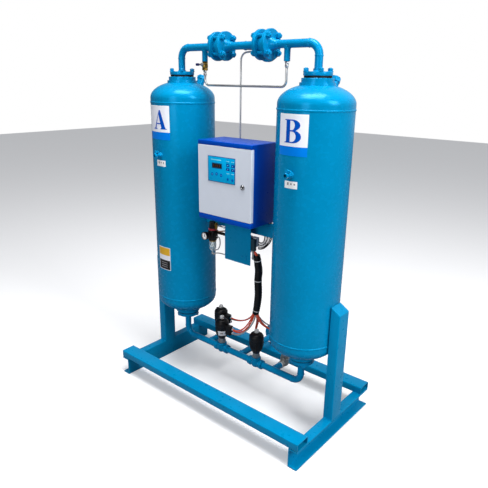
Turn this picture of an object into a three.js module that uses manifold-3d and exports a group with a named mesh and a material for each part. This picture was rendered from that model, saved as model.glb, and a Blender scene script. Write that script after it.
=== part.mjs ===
// Twin-tower heatless desiccant dryer for compressed air. Millimetres, +Z up.
// +X runs from tower A to tower B, +Y to the back, and the origin is on the floor midway between the tower axes.
import * as THREE from "three";
import { mergeVertices } from "three/addons/utils/BufferGeometryUtils.js";
import Module from "manifold-3d";

const wasm = await Module();
wasm.setup();

// ---- Driving dimensions ----

const GAP = 0.3; // between pieces that rest on each other
const TOWER_X = 400; // each tower axis from the middle
const TOWER_R = 162.5;
const TOWER_WALL = 6;
const SEAM_LOW = 478; // girth welds between the shell and its heads
const SEAM_HIGH = 1516;
const HEAD_SKIRT = 20; // straight part of a head above its weld
const NECK_R = 67;
const NECK_WELD_R = 73;
const NECK_BORE = 40;
const NECK_HEIGHT = 20; // neck face beyond the crown of the head
const VESSEL_SIDES = 24;
const COVER_R = 60;
const COVER_THICK = 16;
const GASKET_THICK = 9;

const PIPE_R = 16.85; // DN25
const PIPE_BORE = 13.65;
const BEND_R = 48;
const TOP_PIPE_Z = 1771;
const LOW_PIPE_Z = 206;
const FLANGE_R = 63;
const FLANGE_THICK = 16;
const FLANGE_BOLT_CIRCLE_R = 49;
const STUD_R = 7;
const NUT_R = 13.5;
const CHECK_VALVE_X = 130;
const WAFER_THICK = 34;

const INLET_VALVE_X = { a: -130, b: 115 };
const EXHAUST_X = 230; // exhaust branches from the middle of the manifold
const EXHAUST_Y = 100;
const INLET_HALF_LENGTH = 45;
const EXHAUST_HALF_LENGTH = 34;
const VALVE_LIFT = 12;
const BONNET_Z = 32; // above the pipe axis
const ACTUATOR_Z = 62;
const ACTUATOR_TOP_Z = 174;
const INDICATOR_TOP_Z = 196;

const BASE_HALF_WIDTH = 612.5;
const BASE_HALF_DEPTH = 325;
const CHANNEL_HEIGHT = 100;
const CHANNEL_FLANGE = 48;
const RAIL_WIDTH = 80;
const RAIL_HEIGHT = 40;
const TUBE_WALL = 3;
const POST_DEPTH = 80;
const POST_TOP = 680;
const POST_TOP_OUTER = 650;

const CABINET = { left: -130, right: 195, back: 15, front: -165, low: 992, high: 1364 };
const DOOR_THICK = 18;
const DOOR_LOW = 1017;
const DOOR_HIGH = 1344;
const SHEET = 2;
const PANEL = { left: -63, right: 103, low: 1181, high: 1298, thick: 2.4 };
const KEYS = [
  ["key_up_left", 61, 1264],
  ["key_up_right", 91, 1263],
  ["key_down_left", 61, 1246],
  ["key_down_right", 91, 1245],
];
const KEY_WIDTH = 18;
const KEY_HEIGHT = 12;

const REGULATOR = { x: -140, y: -60 };

// ---- Materials ----

const finish = (color, roughness, metalness = 0) =>
  new THREE.MeshStandardMaterial({ color, roughness, metalness, flatShading: true });
const skyPaint = finish(0x0a82be, 0.35);
const navyPaint = finish(0x0b2fa8, 0.35);
const doorPaint = finish(0xd9dde0, 0.45);
const cyanFilm = finish(0x35a6d8, 0.3);
const keyFilm = finish(0x12358f, 0.4);
const blackPlastic = finish(0x141417, 0.5);
const greyPlastic = finish(0x9a9c9e, 0.45);
const clearPlastic = finish(0xcfdde2, 0.15);
const stainless = finish(0xb9bcbe, 0.3, 1);
const chrome = finish(0xd5d7da, 0.12, 1);
const brass = finish(0xb08a3c, 0.35, 1);
const rubber = finish(0x121416, 0.8);
const alumina = finish(0xe6e3da, 0.9);

// ---- Solids ----

function manifoldOf(positions, triangles) {
  return new wasm.Manifold(
    new wasm.Mesh({ numProp: 3, vertProperties: positions, triVerts: triangles }),
  );
}

// A closed three.js geometry as a solid with its faces pointing out.
function solidOf(geometry) {
  const plain = geometry.clone();
  plain.deleteAttribute("normal");
  plain.deleteAttribute("uv");
  const merged = mergeVertices(plain, 1e-3);
  const positions = merged.attributes.position.array;
  const corners = Array.from(merged.index.array);
  const kept = [];
  for (let i = 0; i < corners.length; i += 3) {
    const [a, b, c] = corners.slice(i, i + 3);
    if (a !== b && b !== c && c !== a) kept.push(a, b, c);
  }
  const solid = manifoldOf(positions, new Uint32Array(kept));
  if (solid.volume() >= 0) return solid;
  return manifoldOf(positions, new Uint32Array(kept.reverse()));
}

const join = (first, ...others) => others.reduce((all, solid) => all.add(solid), first);
const cut = (solid, ...tools) => tools.reduce((left, tool) => left.subtract(tool), solid);

function geometryOf(solid) {
  const { vertProperties, triVerts } = solid.getMesh();
  const geometry = new THREE.BufferGeometry();
  geometry.setAttribute("position", new THREE.BufferAttribute(vertProperties, 3));
  geometry.setIndex(new THREE.BufferAttribute(triVerts, 1));
  geometry.computeVertexNormals();
  return geometry;
}

function box(x0, x1, y0, y1, z0, z1) {
  const geometry = new THREE.BoxGeometry(x1 - x0, y1 - y0, z1 - z0);
  geometry.translate((x0 + x1) / 2, (y0 + y1) / 2, (z0 + z1) / 2);
  return solidOf(geometry);
}

const point = (x, y, z) => new THREE.Vector3(x, y, z);

function sidesFor(radius) {
  if (radius > 100) return VESSEL_SIDES;
  if (radius > 50) return 16;
  return radius > 9 ? 12 : 8;
}

// A round or many-sided bar between two points.
function rod(start, end, radius, sides = sidesFor(radius), endRadius = radius) {
  const along = end.clone().sub(start);
  const geometry = new THREE.CylinderGeometry(endRadius, radius, along.length(), sides);
  geometry.applyQuaternion(
    new THREE.Quaternion().setFromUnitVectors(point(0, 1, 0), along.normalize()),
  );
  geometry.translate(...start.clone().add(end).multiplyScalar(0.5).toArray());
  return solidOf(geometry);
}

// A solid of revolution about Z through (x, y), from [radius, z] corners.
function turned(profile, sides, x = 0, y = 0) {
  const corners = profile.map(([radius, z]) => new THREE.Vector2(radius, z));
  const geometry = new THREE.LatheGeometry(corners, sides);
  geometry.rotateX(Math.PI / 2);
  geometry.translate(x, y, 0);
  return solidOf(geometry);
}

// A centre line of straight runs and round bends, with one station wherever the line changes.
class Route extends THREE.Curve {
  constructor(corners, bendRadius, bendSteps = 4) {
    super();
    const last = corners.length - 1;
    const heading = (i) => corners[i + 1].clone().sub(corners[i]).normalize();
    this.stations = [{ at: corners[0], tangent: heading(0) }];
    for (let i = 1; i < last; i++) {
      this.addBend(corners[i], heading(i - 1), heading(i), bendRadius, bendSteps);
    }
    this.stations.push({ at: corners[last], tangent: heading(last - 1) });
  }

  addBend(corner, before, after, radius, steps) {
    const angle = before.angleTo(after);
    const inward = after.clone().addScaledVector(before, -after.dot(before)).normalize();
    const start = corner.clone().addScaledVector(before, -radius * Math.tan(angle / 2));
    const centre = start.clone().addScaledVector(inward, radius);
    for (let i = 0; i <= steps; i++) {
      const turn = (angle * i) / steps;
      const at = centre
        .clone()
        .addScaledVector(inward, -radius * Math.cos(turn))
        .addScaledVector(before, radius * Math.sin(turn));
      const tangent = before
        .clone()
        .multiplyScalar(Math.cos(turn))
        .addScaledVector(inward, Math.sin(turn));
      this.stations.push({ at, tangent });
    }
  }

  steps() {
    return this.stations.length - 1;
  }

  getPointAt(share, target = new THREE.Vector3()) {
    return target.copy(this.stations[Math.round(share * this.steps())].at);
  }

  getTangentAt(share, target = new THREE.Vector3()) {
    return target.copy(this.stations[Math.round(share * this.steps())].tangent);
  }
}

// A round bar along a curve. A full circle gets two sides for each curve segment.
function swept(path, radius, steps, sides = sidesFor(radius)) {
  const circle = new THREE.Shape().absarc(0, 0, radius, 0, 2 * Math.PI);
  const options = { extrudePath: path, steps, curveSegments: sides / 2 };
  return solidOf(new THREE.ExtrudeGeometry(circle, options));
}

const along = (route, radius, sides) => swept(route, radius, route.steps(), sides);

// Four copies of one solid around an axis through the origin, first at 45 degrees.
function fourAround(solid, axis) {
  const copies = [0, 1, 2, 3].map((i) => {
    const degrees = 45 + 90 * i;
    return axis === "z" ? solid.rotate([0, 0, degrees]) : solid.rotate([degrees, 0, 0]);
  });
  return join(...copies);
}

// ---- The assembly ----

const dryer = new THREE.Group();

function add(name, solid, material, x = 0, y = 0, z = 0, turn = 0) {
  const mesh = new THREE.Mesh(geometryOf(solid), material);
  mesh.name = name;
  mesh.position.set(x, y, z);
  mesh.rotation.z = turn;
  dryer.add(mesh);
}

// Both towers: side -1 is tower A, and side 1 is tower B, whose pipework is turned to face A.
const TOWERS = [
  { letter: "a", side: -1, turn: 0 },
  { letter: "b", side: 1, turn: Math.PI },
];

// ---- Base frame ----

function sideChannel(side) {
  const flangeThick = 8;
  const webThick = 5.5;
  const inner = BASE_HALF_WIDTH - CHANNEL_FLANGE;
  const body = box(
    inner,
    BASE_HALF_WIDTH,
    -BASE_HALF_DEPTH,
    BASE_HALF_DEPTH,
    0,
    CHANNEL_HEIGHT,
  );
  const hollow = box(
    inner + webThick,
    BASE_HALF_WIDTH + 1,
    -BASE_HALF_DEPTH - 1,
    BASE_HALF_DEPTH + 1,
    flangeThick,
    CHANNEL_HEIGHT - flangeThick,
  );
  const channel = cut(body, hollow);
  return side < 0 ? channel.rotate([0, 0, 180]) : channel;
}

function rail(side) {
  const outer = side * BASE_HALF_DEPTH;
  const inner = side * (BASE_HALF_DEPTH - RAIL_WIDTH);
  const [y0, y1] = [Math.min(inner, outer), Math.max(inner, outer)];
  const low = CHANNEL_HEIGHT + GAP;
  const high = CHANNEL_HEIGHT + RAIL_HEIGHT;
  const body = box(-BASE_HALF_WIDTH, BASE_HALF_WIDTH, y0, y1, low, high);
  const hollow = box(
    -BASE_HALF_WIDTH - 1,
    BASE_HALF_WIDTH + 1,
    y0 + TUBE_WALL,
    y1 - TUBE_WALL,
    low + TUBE_WALL,
    high - TUBE_WALL,
  );
  return cut(body, hollow);
}

// A box-section post with a sloped closed top, open below.
function post(side) {
  const inner = TOWER_X + TOWER_R + 1;
  const outline = (margin, low) => {
    const shape = new THREE.Shape();
    shape.moveTo(inner + margin, low);
    shape.lineTo(BASE_HALF_WIDTH - margin, low);
    shape.lineTo(BASE_HALF_WIDTH - margin, POST_TOP_OUTER - margin);
    shape.lineTo(inner + margin, POST_TOP - margin);
    shape.closePath();
    return shape;
  };
  const slab = (margin, low) => {
    const depth = POST_DEPTH - 2 * margin;
    const geometry = new THREE.ExtrudeGeometry(outline(margin, low), {
      depth,
      bevelEnabled: false,
    });
    geometry.rotateX(Math.PI / 2);
    geometry.translate(0, depth / 2, 0);
    return solidOf(geometry);
  };
  const low = CHANNEL_HEIGHT + GAP;
  const tube = cut(slab(0, low), slab(TUBE_WALL, low - 10));
  return side < 0 ? tube.rotate([0, 0, 180]) : tube;
}

for (const [name, side] of [["left", -1], ["right", 1]]) {
  add("base_channel_" + name, sideChannel(side), skyPaint);
  add("post_" + name, post(side), skyPaint);
}
add("front_rail", rail(-1), skyPaint);
add("rear_rail", rail(1), skyPaint);

// ---- Towers ----

const CROWN_HIGH = SEAM_HIGH + HEAD_SKIRT + TOWER_R / 2;
const CROWN_LOW = SEAM_LOW - HEAD_SKIRT - TOWER_R / 2;
const NECK_TOP = CROWN_HIGH + NECK_HEIGHT;
const NECK_BOTTOM = CROWN_LOW - NECK_HEIGHT;

// Points of an elliptical head, from the radius at its neck to its skirt.
function headArc(skirtZ, upward, radius, depth, neckRadius, steps) {
  const first = Math.asin(neckRadius / radius);
  return Array.from({ length: steps + 1 }, (_, i) => {
    const angle = first + ((Math.PI / 2 - first) * i) / steps;
    return [radius * Math.sin(angle), skirtZ + upward * depth * Math.cos(angle)];
  });
}

function vesselProfile() {
  const skirtHigh = SEAM_HIGH + HEAD_SKIRT;
  const skirtLow = SEAM_LOW - HEAD_SKIRT;
  const innerR = TOWER_R - TOWER_WALL;
  const innerDepth = TOWER_R / 2 - TOWER_WALL;
  return [
    [NECK_BORE, NECK_BOTTOM],
    [NECK_R, NECK_BOTTOM],
    [NECK_R, CROWN_LOW],
    ...headArc(skirtLow, -1, TOWER_R, TOWER_R / 2, NECK_WELD_R, 4),
    ...headArc(skirtHigh, 1, TOWER_R, TOWER_R / 2, NECK_WELD_R, 4).reverse(),
    [NECK_R, CROWN_HIGH],
    [NECK_R, NECK_TOP],
    [NECK_BORE, NECK_TOP],
    ...headArc(skirtHigh, 1, innerR, innerDepth, NECK_BORE, 3),
    ...headArc(skirtLow, -1, innerR, innerDepth, NECK_BORE, 3).reverse(),
    [NECK_BORE, NECK_BOTTOM],
  ];
}

// The fill port leaves the rear shoulder of the upper head at right angles to it.
const FILL_TILT = Math.PI * 0.155;
const FILL_START = point(0, 112, 1582);
const FILL_LENGTH = 46;
const FILL_R = 20;
const FILL_BORE = 14;
const FILL_CAP_R = 25;
const fillPoint = (distance) =>
  FILL_START.clone().add(
    point(0, Math.sin(FILL_TILT), Math.cos(FILL_TILT)).multiplyScalar(distance),
  );

const SUPPORT_PLATE_Z = 462;
const SUPPORT_PLATE_THICK = 6;
const SUPPORT_HOLE_R = 24;
const SUPPORT_HOLE_CIRCLE_R = 85;
const SAMPLE_Z = 1264;
const SAMPLE_NOSE_Y = -203;

function supportPlate() {
  const plate = rod(
    point(0, 0, SUPPORT_PLATE_Z),
    point(0, 0, SUPPORT_PLATE_Z + SUPPORT_PLATE_THICK),
    TOWER_R - TOWER_WALL + 1,
    VESSEL_SIDES,
  );
  const hole = rod(
    point(SUPPORT_HOLE_CIRCLE_R, 0, SUPPORT_PLATE_Z - 1),
    point(SUPPORT_HOLE_CIRCLE_R, 0, SUPPORT_PLATE_Z + SUPPORT_PLATE_THICK + 1),
    SUPPORT_HOLE_R,
    6,
  );
  return cut(plate, fourAround(hole, "z"));
}

function towerShell() {
  const vessel = turned(vesselProfile(), VESSEL_SIDES);
  const port = rod(fillPoint(0), fillPoint(FILL_LENGTH), FILL_R);
  const bore = rod(fillPoint(-20), fillPoint(FILL_LENGTH + 1), FILL_BORE, 8);
  const socketBack = 1 - TOWER_R;
  const socket = rod(point(0, socketBack, SAMPLE_Z), point(0, -184, SAMPLE_Z), 10);
  const plug = rod(point(0, -183, SAMPLE_Z), point(0, SAMPLE_NOSE_Y, SAMPLE_Z), 13, 6);
  return join(cut(join(vessel, port), bore), supportPlate(), socket, plug);
}

function desiccantBed() {
  const low = SUPPORT_PLATE_Z + SUPPORT_PLATE_THICK + GAP;
  return rod(point(0, 0, low), point(0, 0, SEAM_HIGH - 20), TOWER_R - TOWER_WALL - 1, VESSEL_SIDES);
}

function fillCap() {
  return rod(fillPoint(FILL_LENGTH + GAP), fillPoint(FILL_LENGTH + 22), FILL_CAP_R, 6);
}

function topGasket() {
  const low = NECK_TOP + GAP;
  const high = NECK_TOP + GASKET_THICK - GAP;
  const ring = rod(point(0, 0, low), point(0, 0, high), COVER_R - 3);
  return cut(ring, rod(point(0, 0, low - 1), point(0, 0, high + 1), NECK_BORE));
}

for (const { letter, side } of TOWERS) {
  const x = side * TOWER_X;
  add("tower_shell_" + letter, towerShell(), skyPaint, x);
  add("desiccant_bed_" + letter, desiccantBed(), alumina, x);
  add("fill_cap_" + letter, fillCap(), skyPaint, x);
  add("top_gasket_" + letter, topGasket(), rubber, x);
}

// ---- Upper pipework ----

const FLANGE_NECK_R = 25;
const FLANGE_NECK_LENGTH = 12;

// A flange whose face looks along X in the given direction, with its neck behind it.
function flange(faceX, z, direction) {
  const back = faceX - direction * FLANGE_THICK;
  const neckEnd = back - direction * FLANGE_NECK_LENGTH;
  const plate = rod(point(faceX, 0, 0), point(back, 0, 0), FLANGE_R);
  const neck = rod(point(back, 0, 0), point(neckEnd, 0, 0), FLANGE_NECK_R, 12, PIPE_R + 1);
  const hole = rod(
    point(faceX + direction, FLANGE_BOLT_CIRCLE_R, 0),
    point(neckEnd, FLANGE_BOLT_CIRCLE_R, 0),
    STUD_R + 1.5,
    6,
  );
  return cut(join(plate, neck), fourAround(hole, "x")).translate([0, 0, z]);
}

const COVER_LOW = NECK_TOP + GASKET_THICK;
const COVER_HIGH = COVER_LOW + COVER_THICK;
const COVER_BOLT_R = 50;

function coverWithBolts(low, high, boltEnd) {
  const plate = rod(point(0, 0, low), point(0, 0, high), COVER_R);
  const face = boltEnd > high ? high - 1 : low + 1;
  const bolt = rod(point(COVER_BOLT_R, 0, face), point(COVER_BOLT_R, 0, boltEnd), 11, 6);
  return join(plate, fourAround(bolt, "z"));
}

const WAFER_OUTER_X = CHECK_VALVE_X + WAFER_THICK / 2;
const WAFER_INNER_X = CHECK_VALVE_X - WAFER_THICK / 2;
const PURGE_BRANCH = { a: 161, b: 156 }; // from the tower axis
const PURGE_BRANCH_LOW = { a: 1707, b: 1703 };

// The pipe from a tower's cover to its check valve, in a frame on the tower axis, +X to the middle.
function outletPipe(letter) {
  const faceX = TOWER_X - WAFER_OUTER_X;
  const line = (startZ, endX) =>
    new Route(
      [point(0, 0, startZ), point(0, 0, TOP_PIPE_Z), point(endX, 0, TOP_PIPE_Z)],
      BEND_R,
    );
  const branchX = PURGE_BRANCH[letter];
  const branchLow = PURGE_BRANCH_LOW[letter];
  const outside = join(
    coverWithBolts(COVER_LOW, COVER_HIGH, COVER_HIGH + 15),
    along(line(COVER_HIGH - 4, faceX - 2), PIPE_R),
    flange(faceX, TOP_PIPE_Z, 1),
    rod(point(branchX, 0, branchLow), point(branchX, 0, TOP_PIPE_Z), 13.5),
  );
  return cut(
    outside,
    along(line(COVER_LOW - 1, faceX + 1), PIPE_BORE, 8),
    rod(point(branchX, 0, branchLow - 1), point(branchX, 0, TOP_PIPE_Z), 7),
  );
}

// A wafer check valve and the four studs that clamp it, in a frame at its middle, flow along +X.
function checkValve() {
  const half = WAFER_THICK / 2 - GAP;
  const wafer = rod(point(-half, 0, 0), point(half, 0, 0), FLANGE_BOLT_CIRCLE_R - STUD_R + 3, 16);
  const seatBore = rod(point(-half - 1, 0, 0), point(half + 1, 0, 0), 10, 12);
  const chamber = rod(point(-7, 0, 0), point(half + 1, 0, 0), 16.5, 12);
  const flangeBack = WAFER_THICK / 2 + FLANGE_THICK;
  const end = flangeBack + 20;
  const studY = FLANGE_BOLT_CIRCLE_R;
  const stud = rod(point(-end, studY, 0), point(end, studY, 0), STUD_R, 6);
  const nut = (sign) =>
    rod(
      point(sign * (flangeBack + GAP), studY, 0),
      point(sign * (flangeBack + 13), studY, 0),
      NUT_R,
      6,
    );
  const fasteners = fourAround(join(stud, nut(1), nut(-1)), "x");
  return join(cut(wafer, seatBore, chamber), fasteners);
}

function checkDisc() {
  return rod(point(-6.5, 0, 0), point(0.5, 0, 0), 15);
}

for (const { letter, side, turn } of TOWERS) {
  add("outlet_pipe_" + letter, outletPipe(letter), skyPaint, side * TOWER_X, 0, 0, turn);
  const valveX = side * CHECK_VALVE_X;
  add("check_valve_" + letter, checkValve(), skyPaint, valveX, 0, TOP_PIPE_Z, turn);
  add("check_disc_" + letter, checkDisc(), stainless, valveX, 0, TOP_PIPE_Z, turn);
}

const OUTLET_FACE_Y = 190;
const PILOT_TAP_X = 62;
const PILOT_TAP_LENGTH = 22;

// A point on the axis of the pilot tap, which leaves the pipe backwards and down at 45 degrees.
const pilotTap = (distance) =>
  point(PILOT_TAP_X, distance * Math.SQRT1_2, TOP_PIPE_Z - distance * Math.SQRT1_2);

function outletTee() {
  const faceX = WAFER_INNER_X;
  const run = rod(point(2 - faceX, 0, TOP_PIPE_Z), point(faceX - 2, 0, TOP_PIPE_Z), PIPE_R);
  const branch = rod(point(0, 0, TOP_PIPE_Z), point(0, OUTLET_FACE_Y - 2, TOP_PIPE_Z), PIPE_R);
  const outletFlange = flange(OUTLET_FACE_Y, 0, 1)
    .rotate([0, 0, 90])
    .translate([0, 0, TOP_PIPE_Z]);
  const boss = rod(pilotTap(PILOT_TAP_LENGTH), pilotTap(0), 9);
  const outside = join(
    run,
    branch,
    boss,
    flange(faceX, TOP_PIPE_Z, 1),
    flange(-faceX, TOP_PIPE_Z, -1),
    outletFlange,
  );
  return cut(
    outside,
    rod(point(-faceX - 1, 0, TOP_PIPE_Z), point(faceX + 1, 0, TOP_PIPE_Z), PIPE_BORE, 8),
    rod(point(0, 0, TOP_PIPE_Z), point(0, OUTLET_FACE_Y + 1, TOP_PIPE_Z), PIPE_BORE, 8),
  );
}

add("outlet_tee", outletTee(), skyPaint);

// ---- Purge line and pilot tube ----

const PURGE_X_A = PURGE_BRANCH.a - TOWER_X;
const PURGE_X_B = TOWER_X - PURGE_BRANCH.b;
const PURGE_VALVE_HIGH = PURGE_BRANCH_LOW.a - GAP;
const PURGE_VALVE_LOW = 1667;
const LEVER_Z = 1693;
const PURGE_TUBE_Z = 1600;
const TUBE_R = 5;

function purgeValve() {
  const x = PURGE_X_A;
  const body = rod(point(x, 0, PURGE_VALVE_LOW), point(x, 0, PURGE_VALVE_HIGH), 13, 6);
  const ball = rod(point(x, 0, 1680), point(x, 0, 1702), 14.5);
  const gland = rod(point(x, 0, LEVER_Z), point(x, -19, LEVER_Z), 7);
  return join(body, ball, gland);
}

// The lever turns about the gland and points away from the middle at rest.
function purgeLever() {
  const x = PURGE_X_A;
  const hub = rod(point(x, -19 - GAP, LEVER_Z), point(x, -27, LEVER_Z), 9);
  return join(hub, box(x - 38, x, -26.5, -22, LEVER_Z - 6, LEVER_Z + 6));
}

function purgeTube() {
  const start = point(PURGE_X_A, 0, PURGE_VALVE_LOW - GAP);
  const end = point(PURGE_X_B, 0, PURGE_BRANCH_LOW.b - GAP);
  const corners = [
    start,
    point(PURGE_X_A, 0, PURGE_TUBE_Z),
    point(PURGE_X_B, 0, PURGE_TUBE_Z),
    end,
  ];
  const unionA = rod(start, point(start.x, 0, start.z - 20), 9, 6);
  const unionB = rod(end, point(end.x, 0, end.z - 20), 10, 6);
  return join(along(new Route(corners, 25), TUBE_R), unionA, unionB);
}

const PILOT_LOW = 960;
const PILOT_X = -30;
const PILOT_Y = 21; // behind the purge tube and the cabinet
const PILOT_ELBOW_LENGTH = 16;

// The tube runs from an elbow on the pilot tap, under the outlet branch, and down behind the cabinet.
function pilotTube() {
  const elbowEnd = pilotTap(PILOT_TAP_LENGTH + PILOT_ELBOW_LENGTH);
  const elbow = rod(pilotTap(PILOT_TAP_LENGTH + GAP), elbowEnd, 7, 6);
  const start = point(PILOT_TAP_X, PILOT_Y, elbowEnd.z + PILOT_ELBOW_LENGTH / 3);
  const corners = [
    start,
    point(PILOT_X, PILOT_Y, start.z - 6),
    point(PILOT_X, PILOT_Y, PILOT_LOW),
  ];
  return join(along(new Route(corners, 36), TUBE_R - 1), elbow);
}

add("purge_valve", purgeValve(), brass);
add("purge_lever", purgeLever(), blackPlastic);
add("purge_tube", purgeTube(), stainless);
add("pilot_tube", pilotTube(), stainless);

// ---- Lower pipework ----

const LOW_COVER_HIGH = NECK_BOTTOM - GASKET_THICK;
const LOW_COVER_LOW = LOW_COVER_HIGH - COVER_THICK;
const INLET_FACE_Y = 325;

// The pipe from a tower's lower cover to its inlet valve, with the branch to its exhaust valve.
function bottomPipe(side, valveX) {
  const towerX = side * TOWER_X;
  const line = (startZ, endX) =>
    new Route(
      [
        point(towerX, 0, startZ),
        point(towerX, 0, LOW_PIPE_Z),
        point(side * endX, 0, LOW_PIPE_Z),
      ],
      BEND_R,
    );
  const endX = Math.abs(valveX) + INLET_HALF_LENGTH + GAP;
  const branchEnd = EXHAUST_Y - EXHAUST_HALF_LENGTH - GAP;
  const branchX = side * EXHAUST_X;
  const cover = coverWithBolts(LOW_COVER_LOW, LOW_COVER_HIGH, LOW_COVER_LOW - 15);
  const outside = join(
    cover.translate([towerX, 0, 0]),
    along(line(LOW_COVER_LOW + 4, endX), PIPE_R),
    rod(point(branchX, 0, LOW_PIPE_Z), point(branchX, branchEnd, LOW_PIPE_Z), PIPE_R),
  );
  return cut(
    outside,
    along(line(LOW_COVER_HIGH + 1, endX - 1), PIPE_BORE, 8),
    rod(point(branchX, 0, LOW_PIPE_Z), point(branchX, branchEnd + 1, LOW_PIPE_Z), PIPE_BORE, 8),
  );
}

for (const { letter, side } of TOWERS) {
  add("bottom_pipe_" + letter, bottomPipe(side, INLET_VALVE_X[letter]), skyPaint);
}

function inletTee() {
  const left = INLET_VALVE_X.a + INLET_HALF_LENGTH + GAP;
  const right = INLET_VALVE_X.b - INLET_HALF_LENGTH - GAP;
  const z = LOW_PIPE_Z;
  const outside = join(
    rod(point(left, 0, z), point(right, 0, z), PIPE_R),
    rod(point(0, 0, z), point(0, INLET_FACE_Y - 2, z), PIPE_R),
    flange(INLET_FACE_Y, 0, 1).rotate([0, 0, 90]).translate([0, 0, z]),
  );
  return cut(
    outside,
    rod(point(left - 1, 0, z), point(right + 1, 0, z), PIPE_BORE, 8),
    rod(point(0, 0, z), point(0, INLET_FACE_Y + 1, z), PIPE_BORE, 8),
  );
}

add("inlet_tee", inletTee(), skyPaint);

// ---- Piston valves, each in a frame at the middle of its body, pipe along X, stem along Z ----

const SEAT_Z = 6;
const PLUG_THICK = 8;
const CHAMBER_R = 16;
const STEM_R = 5;
const WAY_IN = { radius: 9, z: -6 }; // bore below the seat
const WAY_OUT = { radius: 8, z: SEAT_Z + 8 }; // bore above the seat
const PISTON_Z = 100;
const PISTON_THICK = 10;

function valveBody(half, radius) {
  const outside = join(
    rod(point(-half, 0, 0), point(half, 0, 0), radius),
    rod(point(0, 0, -radius - 2), point(0, 0, BONNET_Z), radius + 3, 12, 24),
  );
  return cut(
    outside,
    rod(point(-half - 1, 0, WAY_IN.z), point(2, 0, WAY_IN.z), WAY_IN.radius, 8),
    rod(point(0, 0, WAY_IN.z), point(0, 0, SEAT_Z + 1), WAY_IN.radius, 8),
    rod(point(0, 0, SEAT_Z), point(0, 0, BONNET_Z + 1), CHAMBER_R),
    rod(point(0, 0, WAY_OUT.z), point(half + 1, 0, WAY_OUT.z), WAY_OUT.radius, 8),
  );
}

const PORT_BLOCK = { reach: 70, half: 14, low: 98, high: 150 };
const AIR_PORTS_Z = [112, 136];
const AIR_PORT_REACH = 82;

// Bonnet, moulded piston housing and air connection block, with the block towards +X.
function valveActuator() {
  const low = BONNET_Z + GAP;
  const outer = [
    [0, ACTUATOR_Z - 2],
    [19, ACTUATOR_Z - 2],
    [22, ACTUATOR_Z + 2],
    [33, ACTUATOR_Z + 30],
    [38, ACTUATOR_Z + 62],
    [38, ACTUATOR_Z + 95],
    [31, ACTUATOR_TOP_Z - 4],
    [14, ACTUATOR_TOP_Z],
    [13, INDICATOR_TOP_Z],
    [0, INDICATOR_TOP_Z],
  ];
  const chamber = rod(
    point(0, 0, PISTON_Z - 6),
    point(0, 0, PISTON_Z + PISTON_THICK + VALVE_LIFT + 6),
    27,
    12,
  );
  const { reach, half, low: blockLow, high: blockHigh } = PORT_BLOCK;
  const block = box(0, reach, -half, half, blockLow, blockHigh);
  const ports = AIR_PORTS_Z.map((z) => rod(point(reach - 1, 0, z), point(AIR_PORT_REACH, 0, z), 7));
  return cut(
    join(rod(point(0, 0, low), point(0, 0, ACTUATOR_Z), 21, 6), turned(outer, 12), block, ...ports),
    chamber,
    rod(point(0, 0, low - 1), point(0, 0, INDICATOR_TOP_Z - 4), STEM_R + 1),
  );
}

// Plug, rod, piston and position indicator in one, closed at rest.
function valveStem() {
  const plugLow = SEAT_Z + GAP;
  return join(
    rod(point(0, 0, plugLow), point(0, 0, plugLow + PLUG_THICK), CHAMBER_R - 1.5),
    rod(point(0, 0, plugLow), point(0, 0, INDICATOR_TOP_Z - 18), STEM_R),
    rod(point(0, 0, PISTON_Z), point(0, 0, PISTON_Z + PISTON_THICK), 26, 12),
  );
}

const QUARTER_TURN = Math.PI / 2;

// Where the air connection blocks face: tower A's to the middle, tower B's backwards.
const BLOCK_TURN = {
  inlet: { a: 0, b: 1.5 * QUARTER_TURN },
  exhaust: { a: 0, b: QUARTER_TURN },
};

for (const { letter, side } of TOWERS) {
  const inlet = [INLET_VALVE_X[letter], 0, LOW_PIPE_Z];
  const exhaust = [side * EXHAUST_X, EXHAUST_Y, LOW_PIPE_Z];
  const inletBody = valveBody(INLET_HALF_LENGTH, 24);
  const exhaustBody = valveBody(EXHAUST_HALF_LENGTH, 19);
  const inletTurn = BLOCK_TURN.inlet[letter];
  const exhaustTurn = BLOCK_TURN.exhaust[letter];
  add("inlet_valve_body_" + letter, inletBody, skyPaint, ...inlet);
  add("inlet_actuator_" + letter, valveActuator(), blackPlastic, ...inlet, inletTurn);
  add("inlet_stem_" + letter, valveStem(), stainless, ...inlet);
  add("exhaust_valve_body_" + letter, exhaustBody, stainless, ...exhaust, QUARTER_TURN);
  add("exhaust_actuator_" + letter, valveActuator(), blackPlastic, ...exhaust, exhaustTurn);
  add("exhaust_stem_" + letter, valveStem(), stainless, ...exhaust);
}

const SILENCER_START = EXHAUST_Y + EXHAUST_HALF_LENGTH + GAP;
const SILENCER_NUT = 12;
const SILENCER_LENGTH = 50;

function silencer() {
  const y = SILENCER_START;
  return join(
    rod(point(0, y, 0), point(0, y + SILENCER_NUT, 0), 14, 6),
    rod(point(0, y + SILENCER_NUT - 1, 0), point(0, y + SILENCER_LENGTH, 0), 16, 12, 13),
  );
}

for (const { letter, side } of TOWERS) {
  add("exhaust_silencer_" + letter, silencer(), greyPlastic, side * EXHAUST_X, 0, LOW_PIPE_Z);
}

// ---- Bridge, cabinet and controls ----

const BRIDGE = { low: 915, high: 985, back: 2, front: -12 };

function supportBridge() {
  const reach = TOWER_X - TOWER_R - GAP;
  const { low, high, back, front } = BRIDGE;
  const web = box(-reach, reach, back - 5, back, low, high);
  const top = box(-reach, reach, front, back, high - 5, high);
  return join(web, top);
}

const PLATE = { left: -55, right: 112, low: 768, y: -60, thick: 3 };

// The valve plate hangs from the underside of the cabinet by a folded edge.
function valvePlate() {
  const { left, right, low, y, thick } = PLATE;
  const high = CABINET.low - GAP;
  const sheet = box(left, right, y, y + thick, low, high);
  return join(sheet, box(left, right, y, y + 35, high - thick, high));
}

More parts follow.
